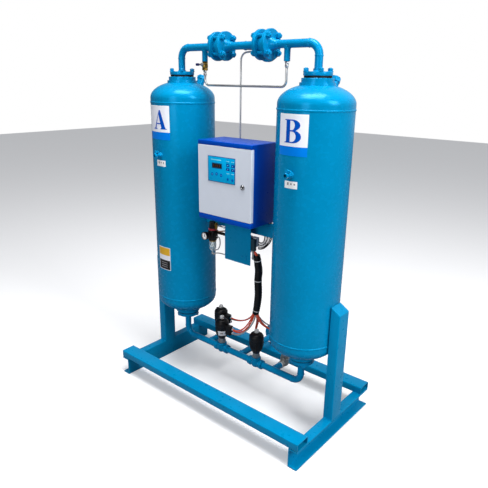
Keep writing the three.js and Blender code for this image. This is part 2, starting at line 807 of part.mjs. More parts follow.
function cabinetBody() {
  const { left, right, back, front, low, high } = CABINET;
  const bodyFront = front + DOOR_THICK;
  const recess = box(left - 1, right + 1, front - 1, bodyFront, DOOR_LOW - 0.5, DOOR_HIGH + 0.5);
  const inside = box(
    left + SHEET,
    right - SHEET,
    bodyFront + SHEET,
    back - SHEET,
    low + SHEET,
    high - SHEET,
  );
  const opening = box(left + 25, right - 25, bodyFront - 1, bodyFront + 10, low + 45, high - 40);
  return cut(box(left, right, front, back, low, high), recess, inside, opening);
}

const LATCH = { x: 147, z: 1176 };

// A sheet pan with its edges folded back, holed for the latch.
function cabinetDoor() {
  const { left, right, front } = CABINET;
  const back = front + DOOR_THICK - GAP;
  const pan = box(left, right, front, back, DOOR_LOW, DOOR_HIGH);
  const hollow = box(
    left + SHEET,
    right - SHEET,
    front + SHEET,
    back + 1,
    DOOR_LOW + SHEET,
    DOOR_HIGH - SHEET,
  );
  const hole = rod(point(LATCH.x, front - 1, LATCH.z), point(LATCH.x, back, LATCH.z), 9, 12);
  const window = box(-20, 70, front - 1, front + 5, PANEL.low + 20, PANEL.high - 20);
  return cut(pan, hollow, hole, window);
}

// A quarter-turn latch, unlocked at rest with its cam pointing down.
function cabinetLatch() {
  const { front } = CABINET;
  const { x, z } = LATCH;
  const camBack = front + DOOR_THICK + 8;
  return join(
    rod(point(x, front - GAP, z), point(x, front - 6, z), 13),
    rod(point(x, front - 1, z), point(x, camBack, z), 8, 12),
    box(x - 7, x + 7, camBack - 3, camBack, z - 36, z + 7),
  );
}

function controlPanel() {
  const { left, right, low, high, thick } = PANEL;
  const back = CABINET.front - GAP;
  const film = box(left, right, back - thick, back, low, high);
  const wells = KEYS.map(([, x, z]) =>
    box(
      x - KEY_WIDTH / 2 - 0.4,
      x + KEY_WIDTH / 2 + 0.4,
      back - thick - 1,
      back + 1,
      z - KEY_HEIGHT / 2 - 0.4,
      z + KEY_HEIGHT / 2 + 0.4,
    ),
  );
  return cut(film, ...wells);
}

function panelKey(x, z) {
  const front = CABINET.front - GAP - PANEL.thick - 0.8;
  return box(
    x - KEY_WIDTH / 2,
    x + KEY_WIDTH / 2,
    front,
    front + 2,
    z - KEY_HEIGHT / 2,
    z + KEY_HEIGHT / 2,
  );
}

// The controller behind the door, with its terminal rail.
function controllerBoard() {
  const back = CABINET.front + DOOR_THICK + 12;
  const face = CABINET.front + SHEET + GAP;
  const housing = box(-30, 80, face, back, PANEL.low + 5, PANEL.high - 5);
  return join(housing, box(-22, 72, back - 1, back + 8, PANEL.low + 15, PANEL.low + 35));
}

add("support_bridge", supportBridge(), skyPaint);
add("valve_plate", valvePlate(), skyPaint);
add("cabinet_body", cabinetBody(), navyPaint);
add("cabinet_door", cabinetDoor(), doorPaint);
add("cabinet_latch", cabinetLatch(), chrome);
add("control_panel", controlPanel(), cyanFilm);
for (const [name, x, z] of KEYS) add(name, panelKey(x, z), keyFilm);
add("controller_board", controllerBoard(), greyPlastic);

// ---- Pilot air: filter regulator, solenoid manifold and tube bundle ----

const REGULATOR_BODY = { low: 850, high: 902, half: 22 };

const BRACKET = { thick: 4, reach: 100, low: 886, high: 901 };

// The body, with a bracket arm that reaches behind the left edge of the valve plate.
function regulatorBody() {
  const { low, high, half } = REGULATOR_BODY;
  const armFront = PLATE.y + PLATE.thick + GAP - REGULATOR.y;
  const arm = box(
    half - 1,
    BRACKET.reach,
    armFront,
    armFront + BRACKET.thick,
    BRACKET.low,
    BRACKET.high,
  );
  return join(box(-half, half, -half, half, low, high), arm);
}

function regulatorKnob() {
  const low = REGULATOR_BODY.high + GAP;
  const profile = [[0, low], [20, low], [20, 912], [17, 913], [17, 944], [14, 948], [0, 948]];
  return turned(profile, 12);
}

function regulatorBowl() {
  const high = REGULATOR_BODY.low - GAP;
  const profile = [[0, 775], [4, 775], [5, 788], [17, 800], [19, 806], [19, high], [0, high]];
  return turned(profile, 12);
}

const GAUGE = { y: -57, z: 883, r: 20 };

function pressureGauge() {
  const { y, z, r } = GAUGE;
  const stem = rod(point(0, -REGULATOR_BODY.half - GAP, z), point(0, y + 13, z), 6);
  const pan = rod(point(0, y + 14, z), point(0, y - 6, z), r, 16);
  const dish = rod(point(0, y, z), point(0, y - 7, z), r - 2, 16);
  return join(cut(pan, dish), stem);
}

function gaugePointer() {
  const { y, z } = GAUGE;
  const front = y - GAP;
  const hub = rod(point(0, front, z), point(0, front - 2, z), 2.5, 8);
  return join(hub, box(-0.9, 0.9, front - 1.5, front - 0.5, z - 4, z + 13));
}

const SOLENOIDS = { left: -30, right: 131, low: 846, high: 905, depth: 20 };
const COIL = { low: 862, high: 908, depth: 26, margin: 3 };

// A manifold block on the back of the valve plate with four solenoid coils behind it, side by side.
function solenoidManifold() {
  const { left, right, low, high, depth } = SOLENOIDS;
  const face = PLATE.y + PLATE.thick + GAP;
  const block = box(left, right, face, face + depth, low, high);
  const pitch = (right - left) / 4;
  const coilFront = face + depth - 1;
  const coils = [0, 1, 2, 3].map((i) => {
    const x = left + pitch * i;
    const { margin, low: coilLow, high: coilHigh } = COIL;
    return box(x + margin, x + pitch - margin, coilFront, coilFront + COIL.depth, coilLow, coilHigh);
  });
  return join(block, ...coils);
}

const BUNDLE_R = 20;

function tubeBundle() {
  const centreLine = new THREE.CatmullRomCurve3([
    point(128, -30, 822),
    point(131, -24, 780),
    point(130, -14, 735),
    point(124, -10, 680),
    point(128, -10, 610),
    point(121, -8, 545),
    point(108, -4, 490),
  ]);
  return swept(centreLine, BUNDLE_R, 16, 12);
}

const regulatorAt = [REGULATOR.x, REGULATOR.y];
add("regulator_body", regulatorBody(), blackPlastic, ...regulatorAt);
add("regulator_knob", regulatorKnob(), blackPlastic, ...regulatorAt);
add("regulator_bowl", regulatorBowl(), clearPlastic, ...regulatorAt);
add("pressure_gauge", pressureGauge(), chrome, ...regulatorAt);
add("gauge_pointer", gaugePointer(), rubber, ...regulatorAt);
add("solenoid_manifold", solenoidManifold(), greyPlastic);
add("tube_bundle", tubeBundle(), rubber);

export default dryer;
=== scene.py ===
"""Looks for a twin-tower desiccant air dryer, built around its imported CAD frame.

Lengths are millimetres, and make() turns a finished shape into metres. Lamps and the camera are in metres.
"""

from math import asin, atan2, cos, pi, radians, sin, sqrt, tan

import bmesh
import bpy
from mathutils import Matrix, Vector
from mathutils.geometry import tessellate_polygon


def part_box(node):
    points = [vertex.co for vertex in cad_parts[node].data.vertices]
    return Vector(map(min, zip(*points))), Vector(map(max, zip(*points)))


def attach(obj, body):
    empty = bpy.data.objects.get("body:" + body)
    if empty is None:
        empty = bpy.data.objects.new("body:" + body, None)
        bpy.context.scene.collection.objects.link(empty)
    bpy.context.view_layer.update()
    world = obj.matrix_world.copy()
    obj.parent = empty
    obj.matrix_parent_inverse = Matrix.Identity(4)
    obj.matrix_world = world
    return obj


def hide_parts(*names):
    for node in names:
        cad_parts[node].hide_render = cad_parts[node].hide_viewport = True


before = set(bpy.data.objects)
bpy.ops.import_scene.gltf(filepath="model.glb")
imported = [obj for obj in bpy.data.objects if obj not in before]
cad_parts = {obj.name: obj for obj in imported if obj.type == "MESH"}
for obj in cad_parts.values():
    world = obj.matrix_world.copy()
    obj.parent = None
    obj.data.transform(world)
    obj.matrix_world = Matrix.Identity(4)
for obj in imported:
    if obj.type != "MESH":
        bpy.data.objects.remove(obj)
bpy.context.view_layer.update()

MM = 0.001
TAU = 2 * pi
QUARTER = pi / 2


# ---- Places read from the frame ----


def node(name):
    low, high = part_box(name)
    return low / MM, high / MM


def middle(name):
    """The centre of a CAD node."""
    low, high = node(name)
    return (low + high) / 2


HEAD_SKIRT = 20
NECK_RISE = 20
NECK_BORE = 40
PIPE_R = 16.85
PIPE_BORE = 13.65
BEND_R = 48

shell_low, shell_high = node("tower_shell_a")
TOWER_R = (shell_high.x - shell_low.x) / 2
TOWER_X = middle("tower_shell_b").x
NECK_TOP = shell_high.z
NECK_BOTTOM = shell_low.z
SEAM_HIGH = NECK_TOP - NECK_RISE - TOWER_R / 2 - HEAD_SKIRT
SEAM_LOW = NECK_BOTTOM + NECK_RISE + TOWER_R / 2 + HEAD_SKIRT
TOP_Z = middle("check_valve_a").z
LOW_Z = middle("inlet_tee").z
CHECK_X = middle("check_valve_b").x
INLET_X = {letter: middle("inlet_valve_body_" + letter).x for letter in "ab"}
INLET_HALF = (node("inlet_valve_body_a")[1].x - node("inlet_valve_body_a")[0].x) / 2
EXHAUST_X = middle("exhaust_valve_body_b").x
EXHAUST_Y = middle("exhaust_valve_body_b").y
EXHAUST_HALF = (node("exhaust_valve_body_a")[1].y - node("exhaust_valve_body_a")[0].y) / 2
NECK_R = 67
SIDES = (("a", -1), ("b", 1))


# ---- Shapes ----


AXIS_TURNS = {"z": (0, "X"), "-z": (pi, "X"), "x": (QUARTER, "Y"), "-x": (-QUARTER, "Y"),
              "y": (-QUARTER, "X"), "-y": (QUARTER, "X")}


def at(x=0, y=0, z=0, axis="z"):
    """A matrix that puts the local origin at a point and turns local Z to an axis."""
    if isinstance(axis, str):
        return Matrix.Translation((x, y, z)) @ Matrix.Rotation(AXIS_TURNS[axis][0], 4, AXIS_TURNS[axis][1])
    turn = Vector((0, 0, 1)).rotation_difference(Vector(axis))
    return Matrix.Translation((x, y, z)) @ turn.to_matrix().to_4x4()


def turned(angle, axis="Z"):
    return Matrix.Rotation(angle, 4, axis)


def circle(radius, count, start=0.0):
    return [(radius * cos(start + TAU * i / count), radius * sin(start + TAU * i / count))
            for i in range(count)]


def round_rect(width, height, radius, steps=5):
    """Outline of a rectangle with rounded corners, centred on the origin."""
    radius = max(min(radius, width / 2 - 0.01, height / 2 - 0.01), 0.01)
    points = []
    for quarter, (sx, sy) in enumerate(((1, 1), (-1, 1), (-1, -1), (1, -1))):
        for i in range(steps + 1):
            angle = (quarter + i / steps) * QUARTER
            points.append((sx * (width / 2 - radius) + radius * cos(angle),
                    sy * (height / 2 - radius) + radius * sin(angle)))
    return points


class Shape:
    """A mesh being built from stacks of rings. Each face keeps the index of its material."""

    def __init__(self):
        self.points = []
        self.faces = []
        self.skins = []

    def face(self, corners, skin):
        self.faces.append(corners)
        self.skins.append(skin)

    def cap(self, ring, skin=0):
        """Closes an outline with a face of its own."""
        start = len(self.points)
        self.points.extend(ring)
        self.face(tuple(range(start, start + len(ring))), skin)

    def stack(self, rings, skin=0, loop=False, caps=True):
        """Joins rings of equal length in order. A ring of one point closes to a pole."""
        starts = []
        for ring in rings:
            starts.append((len(self.points), len(ring)))
            self.points.extend(Vector(p) for p in ring)
        pairs = list(zip(starts, starts[1:]))
        if loop:
            pairs.append((starts[-1], starts[0]))
        for (a, na), (b, nb) in pairs:
            for i in range(max(na, nb)):
                j = (i + 1) % max(na, nb)
                if na == nb == 1:
                    break
                if na == 1:
                    self.face((a, b + j, b + i), skin)
                elif nb == 1:
                    self.face((a + i, a + j, b), skin)
                else:
                    self.face((a + i, a + j, b + j, b + i), skin)
        if caps and not loop:
            for (start, count), turned in ((starts[0], True), (starts[-1], False)):
                if count > 1:
                    corners = tuple(range(start, start + count))
                    self.face(corners[::-1] if turned else corners, skin)
        return self

    def lathe(self, m, profile, sides=48, skin=0, loop=False):
        """Turns (radius, height) corners about the local Z axis of m."""
        rings = []
        for radius, height in profile:
            if radius < 1e-6:
                rings.append([m @ Vector((0, 0, height))])
            else:
                rings.append([m @ Vector((x, y, height)) for x, y in circle(radius, sides)])
        return self.stack(rings, skin, loop)

    def disc(self, m, radius, low, high, edge=1.0, sides=48, skin=0):
        """A round plate with softened rims."""
        edge = min(edge, (high - low) / 2.1, radius / 2.1)
        steps = 3
        rim = [QUARTER * i / steps for i in range(steps + 1)]
        profile = [(0, low)]
        profile += [(radius - edge + edge * sin(a), low + edge - edge * cos(a)) for a in rim]
        profile += [(radius - edge + edge * cos(a), high - edge + edge * sin(a)) for a in rim]
        profile.append((0, high))
        return self.lathe(m, profile, sides, skin)

    def ring(self, m, inner, outer, low, high, edge=0.6, sides=48, skin=0):
        """A round plate with a hole through it."""
        profile = [
            (inner, low),
            (outer - edge, low),
            (outer, low + edge),
            (outer, high - edge),
            (outer - edge, high),
            (inner, high),
        ]
        return self.lathe(m, profile, sides, skin, loop=True)

    def slab(self, m, outline_of, low, high, edge=1.0, skin=0, steps=3):
        """An outline pushed along Z with rounded rims. outline_of(inset) gives the outline."""
        edge = min(edge, (high - low) / 2.1)
        turns = [QUARTER * i / steps for i in range(steps + 1)]
        levels = [(edge * (1 - sin(a)), low + edge - edge * cos(a)) for a in turns]
        levels += [(edge * (1 - cos(a)), high - edge + edge * sin(a)) for a in turns]
        rings = [[m @ Vector((x, y, height)) for x, y in outline_of(inset)] for inset, height in levels]
        return self.stack(rings, skin)

    def box(self, low, high, edge=1.0, corner=None, axis="z", skin=0):
        """A box between two corners with rounded edges, built up along one axis."""
        low, high = Vector(low), Vector(high)
        size = high - low
        centre = (low + high) / 2
        order = {"z": (0, 1, 2), "x": (1, 2, 0), "y": (2, 0, 1)}[axis]
        m = Matrix.Identity(4)
        for column, row in enumerate(order):
            for r in range(3):
                m[r][column] = 1.0 if r == row else 0.0
        m = Matrix.Translation(centre) @ m
        width, height, depth = (size[i] for i in order)
        corner = edge if corner is None else corner
        edge = min(edge, width / 2.1, height / 2.1, depth / 2.1)

        def outline(inset):
            return round_rect(width - 2 * inset, height - 2 * inset, corner - inset, 3)

        return self.slab(m, outline, -depth / 2, depth / 2, edge, skin)

    def hexagon(self, m, flats, low, high, skin=0, chamfer=1.5):
        """A six-sided bar with chamfered rims, by its width across flats."""
        radius = flats / sqrt(3)

        def outline(inset):
            return circle(radius - inset, 6)

        return self.slab(m, outline, low, high, chamfer, skin, steps=1)

    def sweep(self, path, radius, sides=20, skin=0, bore=0, loop=False):
        """A round bar along a path; radius may be a function of the share of the path."""
        rings = [ring_of(p, u, v, radius, share, sides) for p, u, v, share in carried_frames(path, loop)]
        if not bore:
            return self.stack(rings, skin, loop)
        inner = [ring_of(p, u, v, bore, share, sides) for p, u, v, share in carried_frames(path, loop)]
        return self.stack(rings + inner[::-1], skin, loop=True)

    def plate(self, outline, holes, place, skin=0):
        """A flat or wrapped sheet from an outline with holes; place(x, y, side) gives its two faces."""
        loops = [[Vector((x, y, 0)) for x, y in loop] for loop in [outline, *holes]]
        flat = [p for loop in loops for p in loop]
        start = len(self.points)
        for side in (0, 1):
            self.points.extend(Vector(place(p.x, p.y, side)) for p in flat)
        count = len(flat)
        for a, b, c in tessellate_polygon(loops):
            self.face((start + a, start + b, start + c), skin)
            self.face((start + count + c, start + count + b, start + count + a), skin)
        first = start
        for loop in loops:
            size = len(loop)
            for i in range(size):
                j = (i + 1) % size
                self.face((first + i, first + j, first + count + j, first + count + i), skin)
            first += size
        return self


def ring_of(p, u, v, radius, share, sides):
    r = radius(share) if callable(radius) else radius
    return [p + u * (r * cos(TAU * i / sides)) + v * (r * sin(TAU * i / sides)) for i in range(sides)]


def carried_frames(path, loop=False):
    """Each point of a path with two directions square to it, carried along without twist."""
    count = len(path)
    points = [Vector(p) for p in path]
    frames = []
    side = None
    for i, p in enumerate(points):
        before = points[i - 1] if i or loop else p
        after = points[(i + 1) % count] if i < count - 1 or loop else p
        tangent = (after - before).normalized()
        if side is None:
            side = tangent.orthogonal().normalized()
        side = (side - tangent * side.dot(tangent)).normalized()
        frames.append((p, side, tangent.cross(side), i / (count - 1)))
    return frames


def route(corners, bend, steps=10):
    """Straight runs joined by round bends."""
    corners = [Vector(c) for c in corners]
    path = [corners[0]]
    for before, corner, after in zip(corners, corners[1:], corners[2:]):
        d1 = (corner - before).normalized()
        d2 = (after - corner).normalized()
        angle = d1.angle(d2)
        inward = (d2 - d1 * d1.dot(d2)).normalized()
        start = corner - d1 * (bend * tan(angle / 2))
        centre = start + inward * bend
        for i in range(steps + 1):
            turn = angle * i / steps
            path.append(centre - inward * (bend * cos(turn)) + d1 * (bend * sin(turn)))
    path.append(corners[-1])
    return path


def spline(points, steps=8):
    """A Catmull-Rom curve through the points."""
    points = [Vector(p) for p in points]
    ends = [points[0] * 2 - points[1], *points, points[-1] * 2 - points[-2]]
    path = []
    for p0, p1, p2, p3 in zip(ends, ends[1:], ends[2:], ends[3:]):
        for i in range(steps):
            t = i / steps
            square = (2 * p0 - 5 * p1 + 4 * p2 - p3) * t**2
            cube = (3 * p1 - p0 - 3 * p2 + p3) * t**3
            path.append(0.5 * (2 * p1 + (p2 - p0) * t + square + cube))
    path.append(points[-1])
    return path


def make(name, shape, skins, body="root", cad="", slot=None, smooth=35):
    """Turns a shape into a piece on a body that stands for a CAD node; the slot that follows its first
    skin only decides whether the piece casts shadows.
    """
    mesh = bpy.data.meshes.new(name)
    mesh.from_pydata([tuple(p * MM) for p in shape.points], [], shape.faces)
    skins = skins if isinstance(skins, list) else [skins]
    slot = slot or SLOTS[skins[0]]
    for skin in skins:
        mesh.materials.append(skin)
    mesh.polygons.foreach_set("material_index", shape.skins)
    work = bmesh.new()
    work.from_mesh(mesh)
    bmesh.ops.recalc_face_normals(work, faces=work.faces)
    work.to_mesh(mesh)
    work.free()
    mesh.shade_smooth()
    mesh.set_sharp_from_angle(angle=radians(smooth))
    piece = bpy.data.objects.new(name, mesh)
    bpy.context.scene.collection.objects.link(piece)
    if slot == "clear_plastic":
        piece.visible_shadow = False  # light reaches what lies behind the plastic
    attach(piece, body)
    if cad:
        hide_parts(cad)


# ---- Materials ----


def new_material(name):
    material = bpy.data.materials.new(name)
    material.use_nodes = True
    tree = material.node_tree
    return material, tree, tree.nodes["Principled BSDF"]


def add_node(tree, kind, inputs=(), **settings):
    """A shader node with its inputs set or linked."""
    made = tree.nodes.new(kind)
    for key, value in settings.items():
        setattr(made, key, value)
    for key, value in dict(inputs).items():
        if isinstance(value, bpy.types.NodeSocket):
            tree.links.new(value, made.inputs[key])
        else:
            made.inputs[key].default_value = value
    return made


def noise(tree, scale, detail=3.0, stretch=(1, 1, 1)):
    """Noise in the object's own space; scale counts features per metre."""
    place = add_node(tree, "ShaderNodeTexCoord")
    mapping = add_node(tree, "ShaderNodeMapping", {"Vector": place.outputs["Object"], "Scale": stretch})
    return add_node(tree, "ShaderNodeTexNoise", {"Vector": mapping.outputs[0], "Scale": scale,
            "Detail": detail}).outputs[0]


def spread(tree, value, low, high, start=0.3, end=0.7):
    """Maps start..end of a value onto low..high."""
    made = add_node(tree, "ShaderNodeMapRange", {"Value": value, "From Min": start, "From Max": end,
            "To Min": low, "To Max": high})
    return made.outputs[0]


def mixed(tree, factor, first, second):
    """Two colours mixed by a factor."""
    made = add_node(tree, "ShaderNodeMix", data_type="RGBA")
    for key, value in ((0, factor), (6, first), (7, second)):
        if isinstance(value, bpy.types.NodeSocket):
            tree.links.new(value, made.inputs[key])
        else:
            made.inputs[key].default_value = value
    return made.outputs[2]


def edge_mask(tree, radius):
    """1 where a surface turns within radius millimetres, broken up by noise."""
    bevel = add_node(tree, "ShaderNodeBevel", {"Radius": radius * MM}, samples=4)
    geometry = add_node(tree, "ShaderNodeNewGeometry")
    dot = add_node(
        tree, "ShaderNodeVectorMath", {0: bevel.outputs[0], 1: geometry.outputs["Normal"]},
            operation="DOT_PRODUCT"
    )
    turned = spread(tree, dot.outputs["Value"], 1.0, 0.0, 0.80, 0.985)
    patches = spread(tree, noise(tree, 90), 0.0, 1.0, 0.45, 0.6)
    return add_node(tree, "ShaderNodeMath", {0: turned, 1: patches}, operation="MULTIPLY").outputs[0]


def shade(color, factor):
    return (*(min(1.0, c * factor) for c in color[:3]), 1.0)


def coating(
    name, color, rough=0.3, metal=0.0, grain=500.0, bump=0.04, mottle=0.12, coat=0.0, wear=None,
            stretch=(1, 1, 1),
    patch=9.0, shine=0.5, tint=(1.0, 1.0, 1.0)
):
    """Paint, plastic or metal: a mottled colour, uneven gloss, a fine grain and worn edges."""
    material, tree, shader = new_material(name)
    cloud = noise(tree, patch, 4.0, stretch)
    base = mixed(tree, spread(tree, cloud, 0.0, 1.0), shade(color, 1 - mottle), shade(color, 1 + mottle))
    if wear:
        base = mixed(tree, edge_mask(tree, 1.6), base, (*wear, 1.0))
    tree.links.new(base, shader.inputs["Base Color"])
    gloss = spread(tree, noise(tree, patch * 5, 3.0, stretch), rough * 0.8, rough * 1.25)
    tree.links.new(gloss, shader.inputs["Roughness"])
    shader.inputs["Metallic"].default_value = metal
    shader.inputs["Specular IOR Level"].default_value = shine
    shader.inputs["Specular Tint"].default_value = (*tint, 1.0)
    shader.inputs["Coat Weight"].default_value = coat
    shader.inputs["Coat Roughness"].default_value = 0.12
    surface = add_node(
        tree, "ShaderNodeBump", {"Height": noise(tree, grain, 2.0, stretch), "Strength": bump,
                "Distance": 0.001}
    )
    tree.links.new(surface.outputs[0], shader.inputs["Normal"])
    return material


def clear(name, color, rough=0.08, weight=0.9):
    """A see-through plastic or glass with a faint ripple."""
    material, tree, shader = new_material(name)
    base = mixed(tree, spread(tree, noise(tree, 40), 0.0, 1.0), shade(color, 0.93), shade(color, 1.05))
    tree.links.new(base, shader.inputs["Base Color"])
    shader.inputs["Roughness"].default_value = rough
    shader.inputs["Transmission Weight"].default_value = weight
    shader.inputs["IOR"].default_value = 1.3
    surface = add_node(tree, "ShaderNodeBump", {"Height": noise(tree, 60), "Strength": 0.05,
            "Distance": 0.001})
    tree.links.new(surface.outputs[0], shader.inputs["Normal"])
    return material


def glowing(name, color, strength):
    material = coating(name, color, 0.4, grain=900, bump=0.02)
    shader = material.node_tree.nodes["Principled BSDF"]
    shader.inputs["Emission Color"].default_value = (*color, 1)
    shader.inputs["Emission Strength"].default_value = strength
    return material


# Each row: name, colour, roughness, metal, grain per metre, bump, mottle.
GLOSS_TINT = (0.03, 0.5, 1.0)  # reflections in the blue paint keep its hue
sky = coating("sky_paint", (0.0, 0.225, 0.45), 0.25, 0.0, 420, 0.06, 0.04, coat=0.03,
              wear=(0.0, 0.33, 0.56), shine=0.6, tint=GLOSS_TINT)
sky_cast = coating("sky_paint_on_castings", (0.0, 0.215, 0.45), 0.3, 0.0, 260, 0.22, 0.07, coat=0.05,
        wear=(0.02, 0.36, 0.6), shine=0.6, tint=GLOSS_TINT)
sky_frame = coating("sky_paint_on_frame", (0.0, 0.225, 0.45), 0.32, 0.0, 350, 0.06, 0.05, coat=0.03,
        wear=(0.01, 0.34, 0.58), shine=0.5, tint=GLOSS_TINT)
navy = coating("navy_paint", (0.0, 0.06, 0.44), 0.34, 0.0, 900, 0.03, 0.03, wear=(0.0, 0.1, 0.52),
               shine=0.4, tint=(0.05, 0.5, 1.0))
door_white = coating("door_powder_coat", (0.68, 0.73, 0.82), 0.42, 0.0, 1100, 0.1, 0.03,
        wear=(0.8, 0.82, 0.88))
inner_white = coating("cabinet_inside", (0.5, 0.52, 0.54), 0.5, 0.0, 900, 0.15, 0.04)
zinc = coating("zinc_sheet", (0.55, 0.56, 0.57), 0.32, 1.0, 240, 0.08, 0.12, patch=30)
stainless = coating("stainless_tube", (0.6, 0.6, 0.6), 0.32, 0.8, 700, 0.05, 0.08, stretch=(1, 1, 0.05))
cast_stainless = coating("cast_stainless", (0.44, 0.43, 0.41), 0.36, 0.9, 380, 0.3, 0.15, patch=25)
chrome = coating("chrome", (0.8, 0.81, 0.83), 0.1, 1.0, 900, 0.02, 0.03)
brass = coating("brass", (0.44, 0.27, 0.06), 0.3, 1.0, 600, 0.1, 0.18, patch=40)
copper = coating("copper_fitting", (0.72, 0.4, 0.28), 0.32, 1.0, 600, 0.08, 0.15, patch=40)
black = coating("black_moulding", (0.005, 0.0045, 0.005), 0.34, 0.0, 900, 0.14, 0.25,
                wear=(0.025, 0.022, 0.022), shine=0.3)
soft_black = coating("black_rubber", (0.004, 0.004, 0.0045), 0.5, 0.0, 700, 0.2, 0.25, shine=0.25)
sleeve_black = coating("sleeve_black", (0.003, 0.003, 0.0035), 0.38, 0.0, 500, 0.2, 0.3, shine=0.25)
lever_blue = coating("lever_sleeve", (0.02, 0.02, 0.1), 0.4, 0.0, 700, 0.1, 0.15)
grey = coating("grey_moulding", (0.33, 0.34, 0.35), 0.42, 0.0, 800, 0.12, 0.08)
light_grey = coating("light_grey_moulding", (0.62, 0.63, 0.63), 0.4, 0.0, 800, 0.1, 0.06)
dark_teal = coating("manifold_anodised", (0.012, 0.05, 0.07), 0.35, 0.3, 500, 0.08, 0.15)
red_tube = coating("red_air_tube", (0.95, 0.115, 0.05), 0.25, 0.0, 500, 0.04, 0.08, coat=0.15)
grey_tube = coating("grey_air_tube", (0.42, 0.42, 0.43), 0.3, 0.0, 500, 0.04, 0.1, coat=0.2)
white_plastic = coating("white_plastic", (0.78, 0.79, 0.79), 0.38, 0.0, 700, 0.06, 0.04)
red_ring = coating("red_ring", (0.42, 0.03, 0.04), 0.35, 0.0, 700, 0.05, 0.12)
sinter = coating("sintered_bronze", (0.3, 0.2, 0.1), 0.6, 0.8, 900, 0.9, 0.25, patch=120)
label_white = coating("label_white", (0.93, 0.93, 0.94), 0.38, 0.0, 300, 0.02, 0.02)
label_grey = coating("label_plate", (0.86, 0.88, 0.96), 0.38, 0.0, 300, 0.02, 0.02)
label_band = coating("label_band_blue", (0.0, 0.2, 0.78), 0.36, 0.0, 300, 0.02, 0.05, shine=0.4,
        tint=GLOSS_TINT)
label_ink = coating("label_ink_blue", (0.0, 0.075, 0.5), 0.36, 0.0, 300, 0.02, 0.05, shine=0.4,
        tint=GLOSS_TINT)
yellow_ink = coating("plain_yellow", (0.75, 0.42, 0.02), 0.4, 0.0, 300, 0.02, 0.05)
print_grey = coating("printed_grey", (0.28, 0.27, 0.28), 0.45, 0.0, 300, 0.02, 0.1)
film = coating("panel_film", (0.0, 0.4, 0.78), 0.28, 0.0, 900, 0.05, 0.05, coat=0.05, shine=0.4,
               tint=GLOSS_TINT)
film_edge = coating("panel_film_edge", (0.0, 0.09, 0.26), 0.32, 0.0, 900, 0.05, 0.05)
film_ink = coating("panel_print", (0.0, 0.1, 0.46), 0.35, 0.0, 900, 0.03, 0.05, shine=0.3, tint=GLOSS_TINT)
film_pale = coating("panel_print_pale", (0.2, 0.72, 0.88), 0.35, 0.0, 900, 0.03, 0.05)
key_skin = coating("key_film", (0.0, 0.05, 0.36), 0.3, 0.0, 900, 0.03, 0.04, shine=0.3, tint=GLOSS_TINT)
screen = coating("display_window", (0.008, 0.012, 0.01), 0.12, 0.0, 900, 0.01, 0.1, coat=0.5)
digits = glowing("display_digits", (0.22, 0.02, 0.015), 0.10)
alumina = coating("alumina_beads", (0.62, 0.6, 0.55), 0.8, 0.0, 250, 1.0, 0.15, patch=150)
bowl_clear = clear("clear_bowl", (0.86, 0.93, 0.95))
cap_clear = clear("indicator_cap", (0.72, 0.72, 0.72), 0.22, 0.55)
dial_glass = clear("dial_glass", (0.97, 0.98, 0.98), 0.03, 0.98)

SLOTS = {skin: slot for slot, group in {
    "sky_paint": (sky, sky_cast, sky_frame, label_grey, label_white, label_ink,),
    "navy_paint": (navy,),
    "door_paint": (door_white,),
    "rubber": (soft_black, sleeve_black, white_plastic, red_tube, grey_tube,),
    "stainless": (stainless, cast_stainless, zinc,),
    "brass": (brass,),
    "chrome": (chrome,),
    "black_plastic": (black, lever_blue,),
    "grey_plastic": (light_grey, sinter, dark_teal,),
    "clear_plastic": (bowl_clear, cap_clear, dial_glass,),
    "panel_film": (film, film_ink,),
    "key_film": (key_skin,),
}.items() for skin in group}


# ---- Base frame ----


def corner_profile(points, radius, steps=4):
    """An outline whose corners are rounded by radius."""
    count = len(points)
    outline = []
    for i in range(count):
        p, before, after = (Vector(points[j % count]) for j in (i, i - 1, i + 1))
        d1 = (before - p).normalized()
        d2 = (after - p).normalized()
        half = d1.angle(d2) / 2
        reach = radius / tan(half)
        centre = p + (d1 + d2).normalized() * (radius / sin(half))
        start = p + d1 * reach - centre
        end = p + d2 * reach - centre
        sweep_angle = atan2(start.x * end.y - start.y * end.x, start.dot(end))
        for k in range(steps + 1):
            a = sweep_angle * k / steps
            outline.append((centre.x + start.x * cos(a) - start.y * sin(a),
                    centre.y + start.x * sin(a) + start.y * cos(a)))
    return outline


def base_channels():
    for name in ("left", "right"):
        low, high = node("base_channel_" + name)
        side = 1 if high.x > 0 else -1
        inner, outer = sorted((abs(low.x), abs(high.x)))
        web, flange = 5.5, 8
        half = [(outer, low.z), (outer, low.z + flange), (inner + web, low.z + flange)]
        section = [(inner, low.z), *half, *((x, low.z + high.z - z) for x, z in reversed(half)),
                (inner, high.z)]
        outline = corner_profile(section, 2.2, 3)
        shape = Shape()
        rings = [[Vector((side * x, y, z)) for x, z in outline] for y in (low.y, high.y)]
        shape.stack(rings)
        make(f"channel_{name}", shape, sky_frame, cad="base_channel_" + name)


def hollow_rail(name, cad):
    low, high = node(cad)
    wall = 3
    centre = (low + high) / 2
    width, height = high.y - low.y, high.z - low.z

    def ring(x, inset, radius):
        outline = round_rect(width - 2 * inset, height - 2 * inset, radius, 5)
        return [Vector((x, centre.y + u, centre.z + v)) for u, v in outline]

    shape = Shape()
    rings = [ring(low.x, 0, 5), ring(high.x, 0, 5), ring(high.x, wall, 2.5), ring(low.x, wall, 2.5)]
    shape.stack(rings, loop=True)
    make(name, shape, sky_frame, cad=cad)


